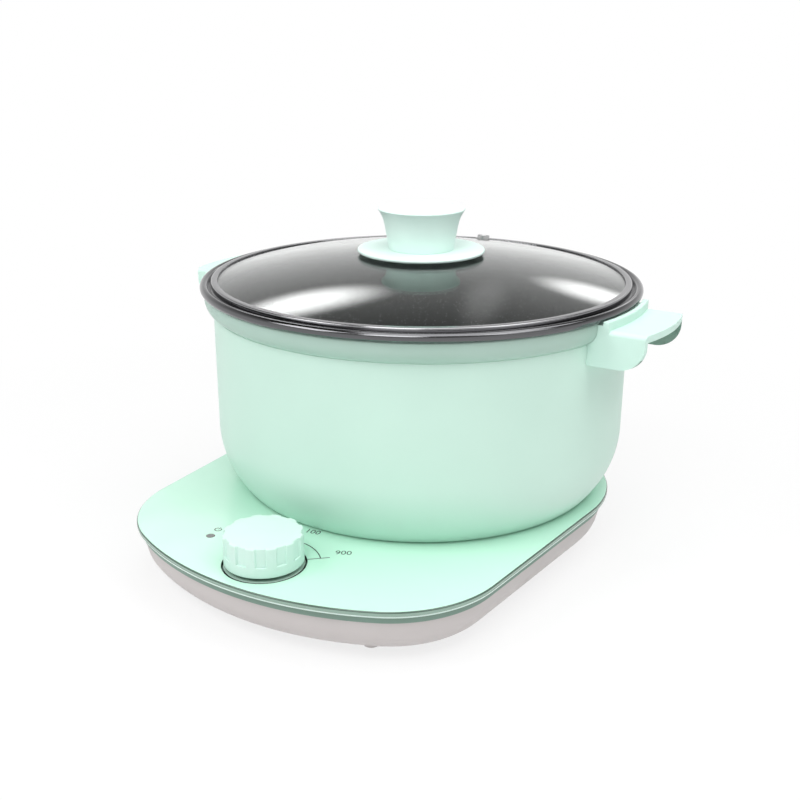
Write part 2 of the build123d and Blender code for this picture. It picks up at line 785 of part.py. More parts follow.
sink_y = power_board_y - power_board_length / 2 + sink_width / 2 + sink_margin
with BuildPart() as heat_sink:
    with BuildSketch(Plane((power_board_x, sink_y, power_board_top_z))):
        Rectangle(sink_length, sink_width)
    extrude(amount=sink_base)
    with BuildSketch(Plane((power_board_x, sink_y, power_board_top_z + sink_base))):
        with GridLocations((sink_length - fin_thickness) / (fin_count - 1), 0, fin_count, 1):
            Rectangle(fin_thickness, sink_width)
    extrude(amount=sink_height - sink_base)
save(heat_sink, "heat_sink")

transistor_y = sink_y + sink_width / 2
with BuildPart() as power_transistor:
    with BuildSketch(Plane((power_board_x, transistor_y, power_board_top_z))):
        Rectangle(transistor_width, transistor_depth, align=(Align.CENTER, Align.MIN))
    extrude(amount=transistor_height)
save(power_transistor, "power_transistor")

with BuildPart() as filter_capacitors:
    with BuildSketch(Plane((power_board_x, power_board_y + capacitor_shift, power_board_top_z))):
        with GridLocations(capacitor_spacing, 0, 2, 1):
            Rectangle(capacitor_width, capacitor_length)
    extrude(amount=capacitor_height)
    fillet(filter_capacitors.faces().group_by(Axis.Z)[-1].edges(), 1)
save(filter_capacitors, "filter_capacitors")

with BuildPart() as mains_choke:
    with BuildSketch(Plane((power_board_x, power_board_y + choke_shift, power_board_top_z))):
        Circle(choke_radius)
        Circle(choke_bore_radius, mode=Mode.SUBTRACT)
    extrude(amount=choke_height)
save(mains_choke, "mains_choke")

fan_floor = 2.2
with BuildPart() as fan_frame:
    with BuildSketch(Plane((fan_x, fan_y, fan_z))):
        RectangleRounded(fan_frame_size, fan_frame_size, 4)
        Circle(fan_bore_radius, mode=Mode.SUBTRACT)
        with GridLocations(2 * fan_screw_spread, 2 * fan_screw_spread, 2, 2):
            Circle(small_screw_radius + seat_gap, mode=Mode.SUBTRACT)
    extrude(amount=fan_height)
    with BuildSketch(Plane((fan_x, fan_y, fan_z))):
        Circle(fan_hub_radius)
        with PolarLocations((fan_hub_radius + fan_bore_radius) / 2, 4, start_angle=45):
            Rectangle(fan_bore_radius - fan_hub_radius + 3, fan_arm_width)
        Circle(fan_spindle_radius + shaft_running_gap, mode=Mode.SUBTRACT)
    extrude(amount=fan_floor)
save(fan_frame, "fan_frame")

hub_z = fan_z + fan_floor + fan_hub_gap
hub_height = fan_height - fan_floor - 2 * fan_hub_gap
blade_chord = 12.0
blade_pitch = 42.0
with BuildPart() as fan_impeller:
    with BuildSketch(Plane((fan_x, fan_y, hub_z))):
        Circle(fan_hub_radius)
    extrude(amount=hub_height)
    blade_tip = fan_bore_radius - fan_tip_gap
    blade_root = fan_hub_radius - 1
    with Locations((fan_x, fan_y, hub_z + hub_height / 2)):
        with PolarLocations((blade_root + blade_tip) / 2, fan_blade_count):
            Box(blade_tip - blade_root, fan_blade_thickness, blade_chord, rotation=(blade_pitch, 0, 0))
    with BuildSketch(Plane((fan_x, fan_y, hub_z))):
        Circle(fan_spindle_radius)
    extrude(amount=hub_height - fan_hub_wall, mode=Mode.SUBTRACT)
save(fan_impeller, "fan_impeller")

with BuildPart() as fan_spindle:
    with BuildSketch(Plane((fan_x, fan_y, fan_z + fan_spindle_lift))):
        Circle(fan_spindle_radius)
    extrude(amount=hub_z + hub_height - fan_hub_wall - fan_z - fan_spindle_lift)
save(fan_spindle, "fan_spindle")

# Small screws: coil former and power board on their posts, fan on the floor of the
# tray, control board hung from the deck.
with BuildPart() as small_screws:
    for x, y in former_posts:
        small_screw(x, y, former_z + former_thickness, small_screw_length)
    for x, y in board_posts:
        small_screw(x, y, power_board_top_z, small_screw_length - 2)
    for x, y in fan_screws:
        small_screw(x, y, fan_z + fan_height, fan_height + fan_screw_bite)
    for x, y in control_posts:
        small_screw(x, y, control_board_z, small_screw_length, head_up=False)
save(small_screws, "small_screws")


# ------------------------------------------------------------------- pot

bottom_arc_radius = (belly_height**2 + (belly_radius - foot_ring_radius) ** 2) / (
    2 * (belly_radius - foot_ring_radius))
bottom_arc_centre = belly_radius - bottom_arc_radius
cavity_foot_radius = bottom_arc_centre + sqrt(
    (bottom_arc_radius - pot_wall) ** 2 - (belly_height - pot_floor) ** 2)

with BuildPart() as pot_body:
    add(pot_outside())
    revolve(axis=pot_axis)
    with BuildSketch(pot_profile_plane) as cavity:
        with BuildLine():
            Polyline((cavity_foot_radius, pot_floor), (0, pot_floor), (0, pot_height + 1),
                     (pot_wall_radius - pot_wall, pot_height + 1), (belly_radius - pot_wall, belly_height))
            TangentArc((belly_radius - pot_wall, belly_height), (cavity_foot_radius, pot_floor),
                       tangent=(0, -1))
        make_face()
        fillet(cavity.vertices().group_by(Axis.Y)[0].sort_by(Axis.X)[-1], pot_corner_radius)
    revolve(axis=pot_axis, mode=Mode.SUBTRACT)
    fillet(pot_body.faces().sort_by(Axis.Z)[-1].edges(), rim_rounding)
    with BuildSketch(over_pot(hob_z)):
        Circle(disc_radius + seat_gap)
    extrude(amount=disc_thickness, mode=Mode.SUBTRACT)
save(pot_body, "pot_body")

with BuildPart() as base_disc:
    with BuildSketch(over_pot(hob_z)):
        Circle(disc_radius)
    extrude(amount=disc_thickness)
save(base_disc, "base_disc")

# Solid of the pot's outside, used to shape what is fixed to the pot.
with BuildPart() as pot_envelope:
    add(pot_outside())
    revolve(axis=pot_axis)
with BuildPart() as pot_envelope_with_gap:
    add(pot_outside(seat_gap))
    revolve(axis=pot_axis)

grip_height = pot_height - grip_drop
guard_height = pot_height + guard_rise
ledge_height = pot_height - ledge_drop
cheek_foot_z = hob_z + grip_height - grip_depth
stud_height = grip_height - stud_drop
stud_end = handle_root_radius - stud_setback    # distances along X from the pot axis
screw_seat = stud_end + screw_wall
stud_bore_end = pot_wall_radius + stud_bore_start
screw_tip = stud_bore_end + screw_end_gap
stud_points = [(-stud_spacing / 2, 0), (stud_spacing / 2, 0)]


def across_pot(distance):
    """Upright plane at a distance to the right of the pot axis, at the studs' height."""
    return Plane((distance, pot_y, hob_z + stud_height), x_dir=(0, 1, 0), z_dir=(1, 0, 0))


with BuildPart() as right_handle:
    with BuildSketch(over_pot(cheek_foot_z)):
        with Locations((grip_reach - grip_edge_radius, 0)):
            Circle(grip_edge_radius)
        Rectangle(grip_reach, handle_width, align=(Align.MIN, Align.CENTER), mode=Mode.INTERSECT)
    extrude(amount=grip_depth)
    # round corner at the foot of the cheeks, softer edges along the top
    fillet(right_handle.edges().filter_by(GeomType.CIRCLE).group_by(Axis.Z)[0], cheek_corner_radius)
    fillet(right_handle.edges().filter_by(Axis.X).group_by(Axis.Z)[-1], grip_rounding)
    # finger space, open below and outwards
    with BuildSketch(over_pot(cheek_foot_z)):
        Circle(grip_reach + 5)
        Circle(handle_root_radius, mode=Mode.SUBTRACT)
        Rectangle(grip_reach + 5, handle_width - 2 * cheek_thickness,
                  align=(Align.MIN, Align.CENTER), mode=Mode.INTERSECT)
    extrude(amount=grip_depth - grip_thickness, mode=Mode.SUBTRACT)
    # guard between the fingers and the lid, and the ledge behind it
    with BuildSketch(over_pot(hob_z + grip_height - grip_rounding)):
        Circle(guard_inner_radius + guard_thickness)
        Circle(guard_inner_radius, mode=Mode.SUBTRACT)
        Rectangle(grip_reach, handle_width, align=(Align.MIN, Align.CENTER), mode=Mode.INTERSECT)
    extrude(amount=guard_height - grip_height + grip_rounding)
    fillet(right_handle.faces().sort_by(Axis.Z)[-1].edges(), guard_rounding)
    with BuildSketch(over_pot(hob_z + grip_height - grip_rounding)):
        Circle(guard_inner_radius + guard_thickness / 2)
        Rectangle(grip_reach, handle_width, align=(Align.MIN, Align.CENTER), mode=Mode.INTERSECT)
    extrude(amount=ledge_height - grip_height + grip_rounding)
    add(pot_envelope_with_gap.part, mode=Mode.SUBTRACT)
    # pockets for the studs and holes for the screws
    with BuildSketch(across_pot(0)):
        with Locations(*stud_points):
            Circle(stud_radius + seat_gap)
    extrude(amount=stud_end + seat_gap, mode=Mode.SUBTRACT)
    with BuildSketch(across_pot(0)):
        with Locations(*stud_points):
            Circle(handle_screw_radius + handle_screw_gap)
    extrude(amount=grip_reach, mode=Mode.SUBTRACT)
    with BuildSketch(across_pot(screw_seat)):
        with Locations(*stud_points):
            Circle(handle_screw_head_radius + fit_gap)
    extrude(amount=grip_reach - screw_seat, mode=Mode.SUBTRACT)
save(right_handle, "right_handle")

with BuildPart() as left_handle:
    mirror(right_handle.part, about=Plane.YZ)
save(left_handle, "left_handle")

with BuildPart() as handle_studs:
    with BuildSketch(across_pot(0)):
        with Locations(*stud_points):
            Circle(stud_radius)
    extrude(amount=stud_end)
    add(pot_envelope.part, mode=Mode.SUBTRACT)
    with BuildSketch(across_pot(stud_bore_end)):
        with Locations(*stud_points):
            Circle(handle_screw_radius + thread_gap)
    extrude(amount=stud_end, mode=Mode.SUBTRACT)
    mirror(about=Plane.YZ)
save(handle_studs, "handle_studs")

with BuildPart() as handle_screws:
    with BuildSketch(across_pot(screw_tip)):
        with Locations(*stud_points):
            Circle(handle_screw_radius)
    extrude(amount=screw_seat - screw_tip)
    with BuildSketch(across_pot(screw_seat)):
        with Locations(*stud_points):
            Circle(handle_screw_head_radius)
    extrude(amount=handle_screw_head_height)
    mirror(about=Plane.YZ)
save(handle_screws, "handle_screws")


# ------------------------------------------------------------------- lid

# The ring: a skirt inside the pot, a web that rests on the rim, a channel that holds
# the glass, a cove and a rolled bead outside.
skirt_radius = pot_wall_radius - pot_wall - skirt_gap
bead_across = lid_radius - bead_radius
bead_up = pot_height + bead_radius
channel_floor = dome_height(lid_glass_radius, lid_glass_thickness) - ring_glass_gap
lip_under = dome_height(ring_lip_radius) + ring_glass_gap
lip_top = lip_under + ring_gauge
channel_wall = ring_seat_radius + ring_gauge
lip_corner = ring_gauge * (1 - sqrt(0.5))     # middle of the lip's rounded corner


def bead_point(angle):
    """Point of the bead's round, at an angle in degrees from +X."""
    turn = radians(angle)
    return (bead_across + bead_radius * cos(turn), bead_up + bead_radius * sin(turn))


bead_end = bead_point(bead_end_angle)
cove_foot = (channel_wall, bead_end[1] - cove_drop)

with BuildPart() as lid_ring:
    with BuildSketch(pot_profile_plane):
        with BuildLine():
            Polyline((skirt_radius - ring_gauge, channel_floor),
                     (skirt_radius - ring_gauge, pot_height - skirt_depth),
                     (skirt_radius, pot_height - skirt_depth),
                     (skirt_radius, pot_height), (bead_across, pot_height))
            ThreePointArc((bead_across, pot_height), (lid_radius, bead_up),
                          (bead_across, bead_up + bead_radius))
            ThreePointArc((bead_across, bead_up + bead_radius),
                          bead_point(bead_middle_angle), bead_end)
            ThreePointArc(bead_end, ((bead_end[0] + cove_foot[0]) / 2, cove_foot[1] - cove_depth),
                          cove_foot)
            Line(cove_foot, (channel_wall, lip_top - ring_gauge))
            ThreePointArc((channel_wall, lip_top - ring_gauge),
                          (channel_wall - lip_corner, lip_top - lip_corner),
                          (channel_wall - ring_gauge, lip_top))
            Polyline((channel_wall - ring_gauge, lip_top), (ring_lip_radius, lip_top),
                     (ring_lip_radius, lip_under), (ring_seat_radius, lip_under),
                     (ring_seat_radius, channel_floor), (skirt_radius - ring_gauge, channel_floor))
        make_face()
    revolve(axis=pot_axis)
save(lid_ring, "lid_ring")

lid_hole_radius = lid_screw_radius + lid_screw_gap
vent_distance = hypot(vent_x, vent_y)
vent_plane = Plane(
    origin=(vent_x, pot_y + vent_y, hob_z + dome_height(vent_distance)),
    x_dir=(vent_y, -vent_x, 0),
    z_dir=(vent_x, vent_y, sqrt(dome_radius**2 - vent_distance**2)))

with BuildPart() as lid_glass:
    with BuildSketch(pot_profile_plane):
        middle = lid_glass_radius / 2
        with BuildLine():
            ThreePointArc((lid_hole_radius, dome_height(lid_hole_radius)), (middle, dome_height(middle)),
                          (lid_glass_radius, dome_height(lid_glass_radius)))
            Line((lid_glass_radius, dome_height(lid_glass_radius)),
                 (lid_glass_radius, dome_height(lid_glass_radius, lid_glass_thickness)))
            ThreePointArc((lid_glass_radius, dome_height(lid_glass_radius, lid_glass_thickness)),
                          (middle, dome_height(middle, lid_glass_thickness)),
                          (lid_hole_radius, dome_height(lid_hole_radius, lid_glass_thickness)))
            Line((lid_hole_radius, dome_height(lid_hole_radius, lid_glass_thickness)),
                 (lid_hole_radius, dome_height(lid_hole_radius)))
        make_face()
    revolve(axis=pot_axis)
    with BuildSketch(vent_plane):
        Circle(vent_tube_radius + seat_gap)
    extrude(amount=2 * lid_glass_thickness, both=True, mode=Mode.SUBTRACT)
save(lid_glass, "lid_glass")

with BuildPart() as steam_vent:
    with BuildSketch(vent_plane.offset(vent_flange_height + seat_gap)):
        Circle(vent_tube_radius)
    extrude(amount=-lid_glass_thickness - 2 * (vent_flange_height + seat_gap))
    with BuildSketch(vent_plane.offset(seat_gap)):
        Circle(vent_flange_radius)
    extrude(amount=vent_flange_height)
    fillet(steam_vent.faces().sort_by(Axis.Z)[-1].edges(), vent_rounding)
    with BuildSketch(vent_plane.offset(-lid_glass_thickness - seat_gap)):
        Circle(vent_flange_radius)
    extrude(amount=-vent_flange_height)
    with BuildSketch(vent_plane):
        Circle(vent_bore_radius)
    extrude(amount=2 * lid_glass_thickness, both=True, mode=Mode.SUBTRACT)
save(steam_vent, "steam_vent")

saucer_foot = dome_top + gasket_height
with BuildPart() as lid_gasket:
    with BuildSketch(over_pot(hob_z + dome_top)):
        Circle(gasket_radius)
        Circle(lid_hole_radius, mode=Mode.SUBTRACT)
    extrude(amount=gasket_height)
save(lid_gasket, "lid_gasket")

saucer_floor = saucer_foot + saucer_thickness
saucer_top_height = saucer_foot + saucer_height
saucer_rim_outside = saucer_radius - saucer_rounding
saucer_rim_inside = saucer_rim_outside - saucer_rim_width
with BuildPart() as lid_saucer:
    with BuildSketch(pot_profile_plane):
        with BuildLine():
            Polyline((saucer_rim_inside, saucer_top_height + saucer_rim_rise),
                     (saucer_floor_radius, saucer_floor), (lid_hole_radius, saucer_floor),
                     (lid_hole_radius, saucer_foot), (gasket_radius + saucer_flat, saucer_foot),
                     (saucer_rim_outside, saucer_top_height - saucer_edge))
            ThreePointArc((saucer_rim_outside, saucer_top_height - saucer_edge),
                          (saucer_radius, saucer_top_height - saucer_edge / 2),
                          (saucer_rim_outside, saucer_top_height))
            Line((saucer_rim_outside, saucer_top_height),
                 (saucer_rim_inside, saucer_top_height + saucer_rim_rise))
        make_face()
    revolve(axis=pot_axis)
save(lid_saucer, "lid_saucer")

knob_foot = saucer_floor
knob_top_height = knob_foot + knob_height
knob_waist = (knob_waist_radius, knob_foot + knob_waist_height)
knob_rim = (knob_rim_radius, knob_top_height - knob_edge_round)
knob_edge_inset = knob_edge_round * (1 - sqrt(0.5))
knob_dish_radius = knob_rim_radius - knob_rim_width - knob_dish_edge
insert_radius = 4.4
insert_height = 13.0
with BuildPart() as lid_knob:
    with BuildSketch(pot_profile_plane):
        with BuildLine():
            Line((knob_foot_radius, knob_foot), knob_waist)
            TangentArc(knob_waist, knob_rim,
                       tangent=(knob_waist_radius - knob_foot_radius, knob_waist_height))
            ThreePointArc(knob_rim,
                          (knob_rim_radius - knob_edge_inset, knob_top_height - knob_edge_inset),
                          (knob_rim_radius - knob_edge_round, knob_top_height))
            Polyline((knob_rim_radius - knob_edge_round, knob_top_height),
                     (knob_rim_radius - knob_rim_width, knob_top_height),
                     (knob_dish_radius, knob_top_height - knob_dish_edge),
                     (0, knob_top_height - knob_top_dish), (0, knob_foot), (knob_foot_radius, knob_foot))
        make_face()
    revolve(axis=pot_axis)
    with BuildSketch(over_pot(hob_z + knob_foot)):
        Circle(knob_foot_radius - knob_wall)
        Circle(knob_post_radius, mode=Mode.SUBTRACT)
    extrude(amount=knob_top_height - knob_top_dish - knob_top_wall - knob_foot, mode=Mode.SUBTRACT)
    with BuildSketch(over_pot(hob_z + knob_foot)):
        Circle(insert_radius)
    extrude(amount=insert_height, mode=Mode.SUBTRACT)
save(lid_knob, "lid_knob")

with BuildPart() as knob_insert:
    with BuildSketch(over_pot(hob_z + knob_foot)):
        Circle(insert_radius)
        Circle(lid_screw_radius + thread_gap, mode=Mode.SUBTRACT)
    extrude(amount=insert_height)
save(knob_insert, "knob_insert")

washer_top = dome_height(washer_radius, lid_glass_thickness) - thread_gap
with BuildPart() as lid_washer:
    with BuildSketch(over_pot(hob_z + washer_top - washer_thickness)):
        Circle(washer_radius)
        Circle(lid_hole_radius, mode=Mode.SUBTRACT)
    extrude(amount=washer_thickness)
save(lid_washer, "lid_washer")

with BuildPart() as lid_screw:
    with BuildSketch(over_pot(hob_z + washer_top - washer_thickness)):
        Circle(lid_screw_radius)
    extrude(amount=knob_foot + insert_height - 1 - washer_top + washer_thickness)
    with BuildSketch(over_pot(hob_z + washer_top - washer_thickness)):
        Circle(lid_screw_head_radius)
    extrude(amount=-lid_screw_head_height)
    fillet(lid_screw.faces().sort_by(Axis.Z)[0].edges(), lid_screw_rounding)
save(lid_screw, "lid_screw")
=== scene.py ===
"""Split electric hot pot, dressed: an induction base with one dial, a pot and a glass lid.

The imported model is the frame: places that both share are read from its nodes, and each
piece made here stands for the node whose surface it shows.  Metres, +Z is up, the user
stands at -Y, where the dial is, and the pot's axis is upright.
"""

import logging
from collections.abc import Callable
from dataclasses import dataclass
from enum import Enum
from math import asin, atan2, cos, degrees, hypot, pi, radians, sin, sqrt

import bpy
from mathutils import Matrix, Vector

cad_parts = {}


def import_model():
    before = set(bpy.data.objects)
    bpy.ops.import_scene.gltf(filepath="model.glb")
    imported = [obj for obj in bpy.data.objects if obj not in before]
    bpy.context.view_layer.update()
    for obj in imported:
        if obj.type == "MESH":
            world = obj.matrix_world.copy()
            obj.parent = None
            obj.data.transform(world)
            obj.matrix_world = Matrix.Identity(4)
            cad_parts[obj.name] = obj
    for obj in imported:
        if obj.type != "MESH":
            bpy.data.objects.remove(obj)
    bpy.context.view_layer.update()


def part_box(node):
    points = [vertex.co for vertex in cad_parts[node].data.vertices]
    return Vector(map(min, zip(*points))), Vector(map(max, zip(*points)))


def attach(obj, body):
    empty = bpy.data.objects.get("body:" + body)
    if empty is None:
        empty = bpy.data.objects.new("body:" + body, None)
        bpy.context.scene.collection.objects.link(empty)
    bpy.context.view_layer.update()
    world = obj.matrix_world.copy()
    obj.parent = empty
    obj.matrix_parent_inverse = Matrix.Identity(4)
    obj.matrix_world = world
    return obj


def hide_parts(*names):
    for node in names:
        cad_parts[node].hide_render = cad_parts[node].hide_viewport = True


log = logging.getLogger("hot_pot")

MM = 0.001

# The upright share of a face's normal, by which faces are told apart.
LEVEL_FACE = 0.999      # over this, flat and level
ROUNDED_FACE = 0.96     # under this, part of a rounding or steeper
STEEP_FACE = 0.5        # under this, more upright than level
UPRIGHT_FACE = 0.05     # under this, upright

Point = tuple[float, float]
Place = tuple[float, float, float]
Socket = bpy.types.NodeSocket
FaceTest = Callable[[Vector, Vector], bool]


# ------------------------------------------------------------------------- materials


def linear(colour: str) -> tuple[float, float, float, float]:
    """Turn an sRGB hex colour into linear light.

    Args:
        colour: Six hex digits after a hash.

    Returns:
        Red, green, blue and an alpha of 1.
    """
    parts = [int(colour[i:i + 2], 16) / 255 for i in (1, 3, 5)]
    light = [p / 12.92 if p <= 0.04045 else ((p + 0.055) / 1.055) ** 2.4 for p in parts]
    return light[0], light[1], light[2], 1.0


def per_mm(size: float) -> float:
    """Texture scale at which one cell of a pattern is this many millimetres across."""
    return 1.0 / (size * MM)


def add_node(tree: bpy.types.NodeTree, kind: str, inputs: dict | None = None, **settings) -> bpy.types.Node:
    """Add a node with its settings, values and links.

    Args:
        tree: Node tree of a material or of the world.
        kind: Blender's name of the node.
        inputs: Input name or number to a value, or to the socket that feeds it.
        **settings: Properties of the node itself.

    Returns:
        The new node.
    """
    node = tree.nodes.new(kind)
    for name, value in settings.items():
        setattr(node, name, value)
    for name, value in (inputs or {}).items():
        if isinstance(value, Socket):
            tree.links.new(value, node.inputs[name])
        else:
            node.inputs[name].default_value = value
    return node


def new_material(name: str) -> tuple[bpy.types.Material, bpy.types.NodeTree, Socket]:
    """Start a material with no shader yet.

    Args:
        name: What the surface is made of.

    Returns:
        The material, its tree and the socket of the object's own coordinates.
    """
    material = bpy.data.materials.new(name)
    material.use_nodes = True
    tree = material.node_tree
    tree.nodes.clear()
    place = add_node(tree, "ShaderNodeTexCoord").outputs["Object"]
    return material, tree, place


def finish_material(tree: bpy.types.NodeTree, shader: Socket) -> None:
    """Link a shader to the material's output."""
    add_node(tree, "ShaderNodeOutputMaterial", {"Surface": shader})


def mottled(tree: bpy.types.NodeTree, place: Socket, colour: str, other: str, cell: float) -> Socket:
    """Blend two near colours in soft patches, as pigment settles unevenly.

    Args:
        tree: The material's tree.
        place: Coordinates.
        colour: The main colour.
        other: The colour of the patches.
        cell: Size of a patch in millimetres.

    Returns:
        The blended colour.
    """
    patches = add_node(tree, "ShaderNodeTexNoise", {"Vector": place, "Scale": per_mm(cell), "Detail": 2.0})
    ramp = add_node(tree, "ShaderNodeMapRange", {
        "Value": patches.outputs["Fac"], "From Min": 0.35, "From Max": 0.65})
    mix = add_node(tree, "ShaderNodeMix", {
        "Factor": ramp.outputs["Result"], "A": linear(colour), "B": linear(other)}, data_type="RGBA")
    return mix.outputs["Result"]


def grained(tree: bpy.types.NodeTree, place: Socket, cell: float, depth: float) -> Socket:
    """Bump of a fine grain.

    Args:
        tree: The material's tree.
        place: Coordinates.
        cell: Size of a grain in millimetres.
        depth: Height of a grain in millimetres.

    Returns:
        The bumped normal.
    """
    grain = add_node(tree, "ShaderNodeTexNoise", {
        "Vector": place, "Scale": per_mm(cell), "Detail": 3.0, "Roughness": 0.6})
    bump = add_node(tree, "ShaderNodeBump", {
        "Height": grain.outputs["Fac"], "Distance": depth * MM, "Strength": 1.0})
    return bump.outputs["Normal"]


def uneven(tree: bpy.types.NodeTree, place: Socket, low: float, high: float, cell: float) -> Socket:
    """Roughness that wanders between two values, as wiping and touch leave a surface.

    Args:
        tree: The material's tree.
        place: Coordinates.
        low: Lowest roughness.
        high: Highest roughness.
        cell: Size of a patch in millimetres.

    Returns:
        The roughness.
    """
    noise = add_node(tree, "ShaderNodeTexNoise", {"Vector": place, "Scale": per_mm(cell), "Detail": 4.0})
    spread = add_node(tree, "ShaderNodeMapRange", {
        "Value": noise.outputs["Fac"], "From Min": 0.3, "From Max": 0.7, "To Min": low, "To Max": high})
    return spread.outputs["Result"]


@dataclass(frozen=True)
class Finish:
    """A finish of one shader, which each kind of surface feeds in its own way."""

    name: str

    def inputs(self, tree: bpy.types.NodeTree, place: Socket) -> dict:
        """Values and sockets of the shader's inputs, which each kind of finish gives."""
        raise NotImplementedError

    def make(self) -> bpy.types.Material:
        """Build the material.

        Returns:
            The finished material.
        """
        material, tree, place = new_material(self.name)
        shader = add_node(tree, "ShaderNodeBsdfPrincipled", self.inputs(tree, place))
        finish_material(tree, shader.outputs["BSDF"])
        return material


@dataclass(frozen=True)
class MouldedPlastic(Finish):
    """Injection-moulded plastic with a fine spark-eroded grain.

    The eye sees a soft wide highlight and no mirror image; the grain is drawn coarser
    than the real 0.1 mm so that it shows.
    """

    colour: str
    patch: str
    roughness: float = 0.5
    grain: float = 0.5
    grain_depth: float = 0.012

    def inputs(self, tree: bpy.types.NodeTree, place: Socket) -> dict:
        """Even pigment, and a roughness that wanders a little.

        Args:
            tree: The material's tree.
            place: Coordinates.

        Returns:
            Values and sockets of the shader's inputs.
        """
        return {
            "Base Color": mottled(tree, place, self.colour, self.patch, cell=45.0),
            "Roughness": uneven(tree, place, self.roughness - 0.05, self.roughness + 0.05, cell=18.0),
            "IOR": 1.5,
            "Normal": grained(tree, place, cell=self.grain, depth=self.grain_depth)}


@dataclass(frozen=True)
class EnamelledGlass(Finish):
    """Polished glass with mint enamel baked on its back.

    The top is smooth, so it has a gloss over an even colour; light that enters at the
    edge of such glass comes back darker and greener.
    """

    colour: str
    patch: str
    roughness: float
    coat: float

    def inputs(self, tree: bpy.types.NodeTree, place: Socket) -> dict:
        """Enamel's colour under a glossy coat.

        Args:
            tree: The material's tree.
            place: Coordinates.

        Returns:
            Values and sockets of the shader's inputs.
        """
        return {
            "Base Color": mottled(tree, place, self.colour, self.patch, cell=60.0),
            "Roughness": uneven(tree, place, self.roughness - 0.04, self.roughness + 0.04, cell=30.0),
            "IOR": 1.52,
            "Coat Weight": self.coat,
            "Coat Roughness": 0.22,
            "Coat IOR": 1.5,
            "Normal": grained(tree, place, cell=0.8, depth=0.004)}


@dataclass(frozen=True)
class SprayedCeramic(Finish):
    """Ceramic coat sprayed on cast aluminium: satin, with the slight orange peel of a spray gun."""

    colour: str
    patch: str
    roughness: float

    def inputs(self, tree: bpy.types.NodeTree, place: Socket) -> dict:
        """Even colour over a shallow orange peel.

        Args:
            tree: The material's tree.
            place: Coordinates.

        Returns:
            Values and sockets of the shader's inputs.
        """
        return {
            "Base Color": mottled(tree, place, self.colour, self.patch, cell=70.0),
            "Roughness": uneven(tree, place, self.roughness - 0.04, self.roughness + 0.04, cell=25.0),
            "IOR": 1.5,
            "Normal": grained(tree, place, cell=1.6, depth=0.006)}


@dataclass(frozen=True)
class NonStickCoat(Finish):
    """Dark non-stick lining with pale mineral specks, which are 0.7 mm across."""

    name: str = "non_stick_lining"
    colour: str = "#2E3130"
    speck: str = "#7C8581"

    def inputs(self, tree: bpy.types.NodeTree, place: Socket) -> dict:
        """Specks at the middles of cells, in a dark coat.

        Args:
            tree: The material's tree.
            place: Coordinates.

        Returns:
            Values and sockets of the shader's inputs.
        """
        cells = add_node(tree, "ShaderNodeTexVoronoi", {"Vector": place, "Scale": per_mm(2.4)})
        specks = add_node(tree, "ShaderNodeMapRange", {
            "Value": cells.outputs["Distance"], "From Min": 0.12, "From Max": 0.2,
            "To Min": 1.0, "To Max": 0.0})
        mix = add_node(tree, "ShaderNodeMix", {
            "Factor": specks.outputs["Result"], "A": linear(self.colour), "B": linear(self.speck)},
            data_type="RGBA")
        return {
            "Base Color": mix.outputs["Result"],
            "Roughness": uneven(tree, place, low=0.32, high=0.42, cell=20.0),
            "Normal": grained(tree, place, cell=0.9, depth=0.01)}


@dataclass(frozen=True)
class ClearGlass(Finish):
    """Toughened soda-lime glass with a faint grey cast."""

    name: str = "toughened_glass"
    colour: str = "#F1F5F3"

    def inputs(self, tree: bpy.types.NodeTree, place: Socket) -> dict:
        """Clear and polished, with a slow wave.

        Args:
            tree: The material's tree.
            place: Coordinates.

        Returns:
            Values and sockets of the shader's inputs.
        """
        # Rolled sheet is never quite flat, which makes mirrored edges waver a little.
        waves = add_node(tree, "ShaderNodeTexNoise", {"Vector": place, "Scale": per_mm(60.0), "Detail": 1.0})
        bump = add_node(tree, "ShaderNodeBump", {
            "Height": waves.outputs["Fac"], "Distance": 0.05 * MM, "Strength": 0.3})
        return {
            "Base Color": linear(self.colour),
            "Roughness": 0.0,
            "IOR": 1.52,
            "Transmission Weight": 1.0,
            "Normal": bump.outputs["Normal"]}


@dataclass(frozen=True)
class PolishedMetal(Finish):
    """Rolled strip or turned bar, polished: mirror-like, with marks that waver along the way it was worked.

    The marks are hair-fine on the real one, and are drawn millimetres wide so that they show.
    """

    colour: str
    roughness: float

    def inputs(self, tree: bpy.types.NodeTree, place: Socket) -> dict:
        """Metal's colour, with marks that run round the piece.

        Args:
            tree: The material's tree.
            place: Coordinates.

        Returns:
            Values and sockets of the shader's inputs.
        """
        stretch = add_node(tree, "ShaderNodeMapping", {"Vector": place, "Scale": (1.0, 1.0, 14.0)})
        marks = add_node(tree, "ShaderNodeTexNoise", {
            "Vector": stretch.outputs["Vector"], "Scale": per_mm(6.0), "Detail": 2.0})
        bump = add_node(tree, "ShaderNodeBump", {
            "Height": marks.outputs["Fac"], "Distance": 0.01 * MM, "Strength": 0.5})
        return {
            "Base Color": linear(self.colour),
            "Metallic": 1.0,
            "Roughness": uneven(tree, place, self.roughness - 0.03, self.roughness + 0.04, cell=9.0),
            "Normal": bump.outputs["Normal"]}


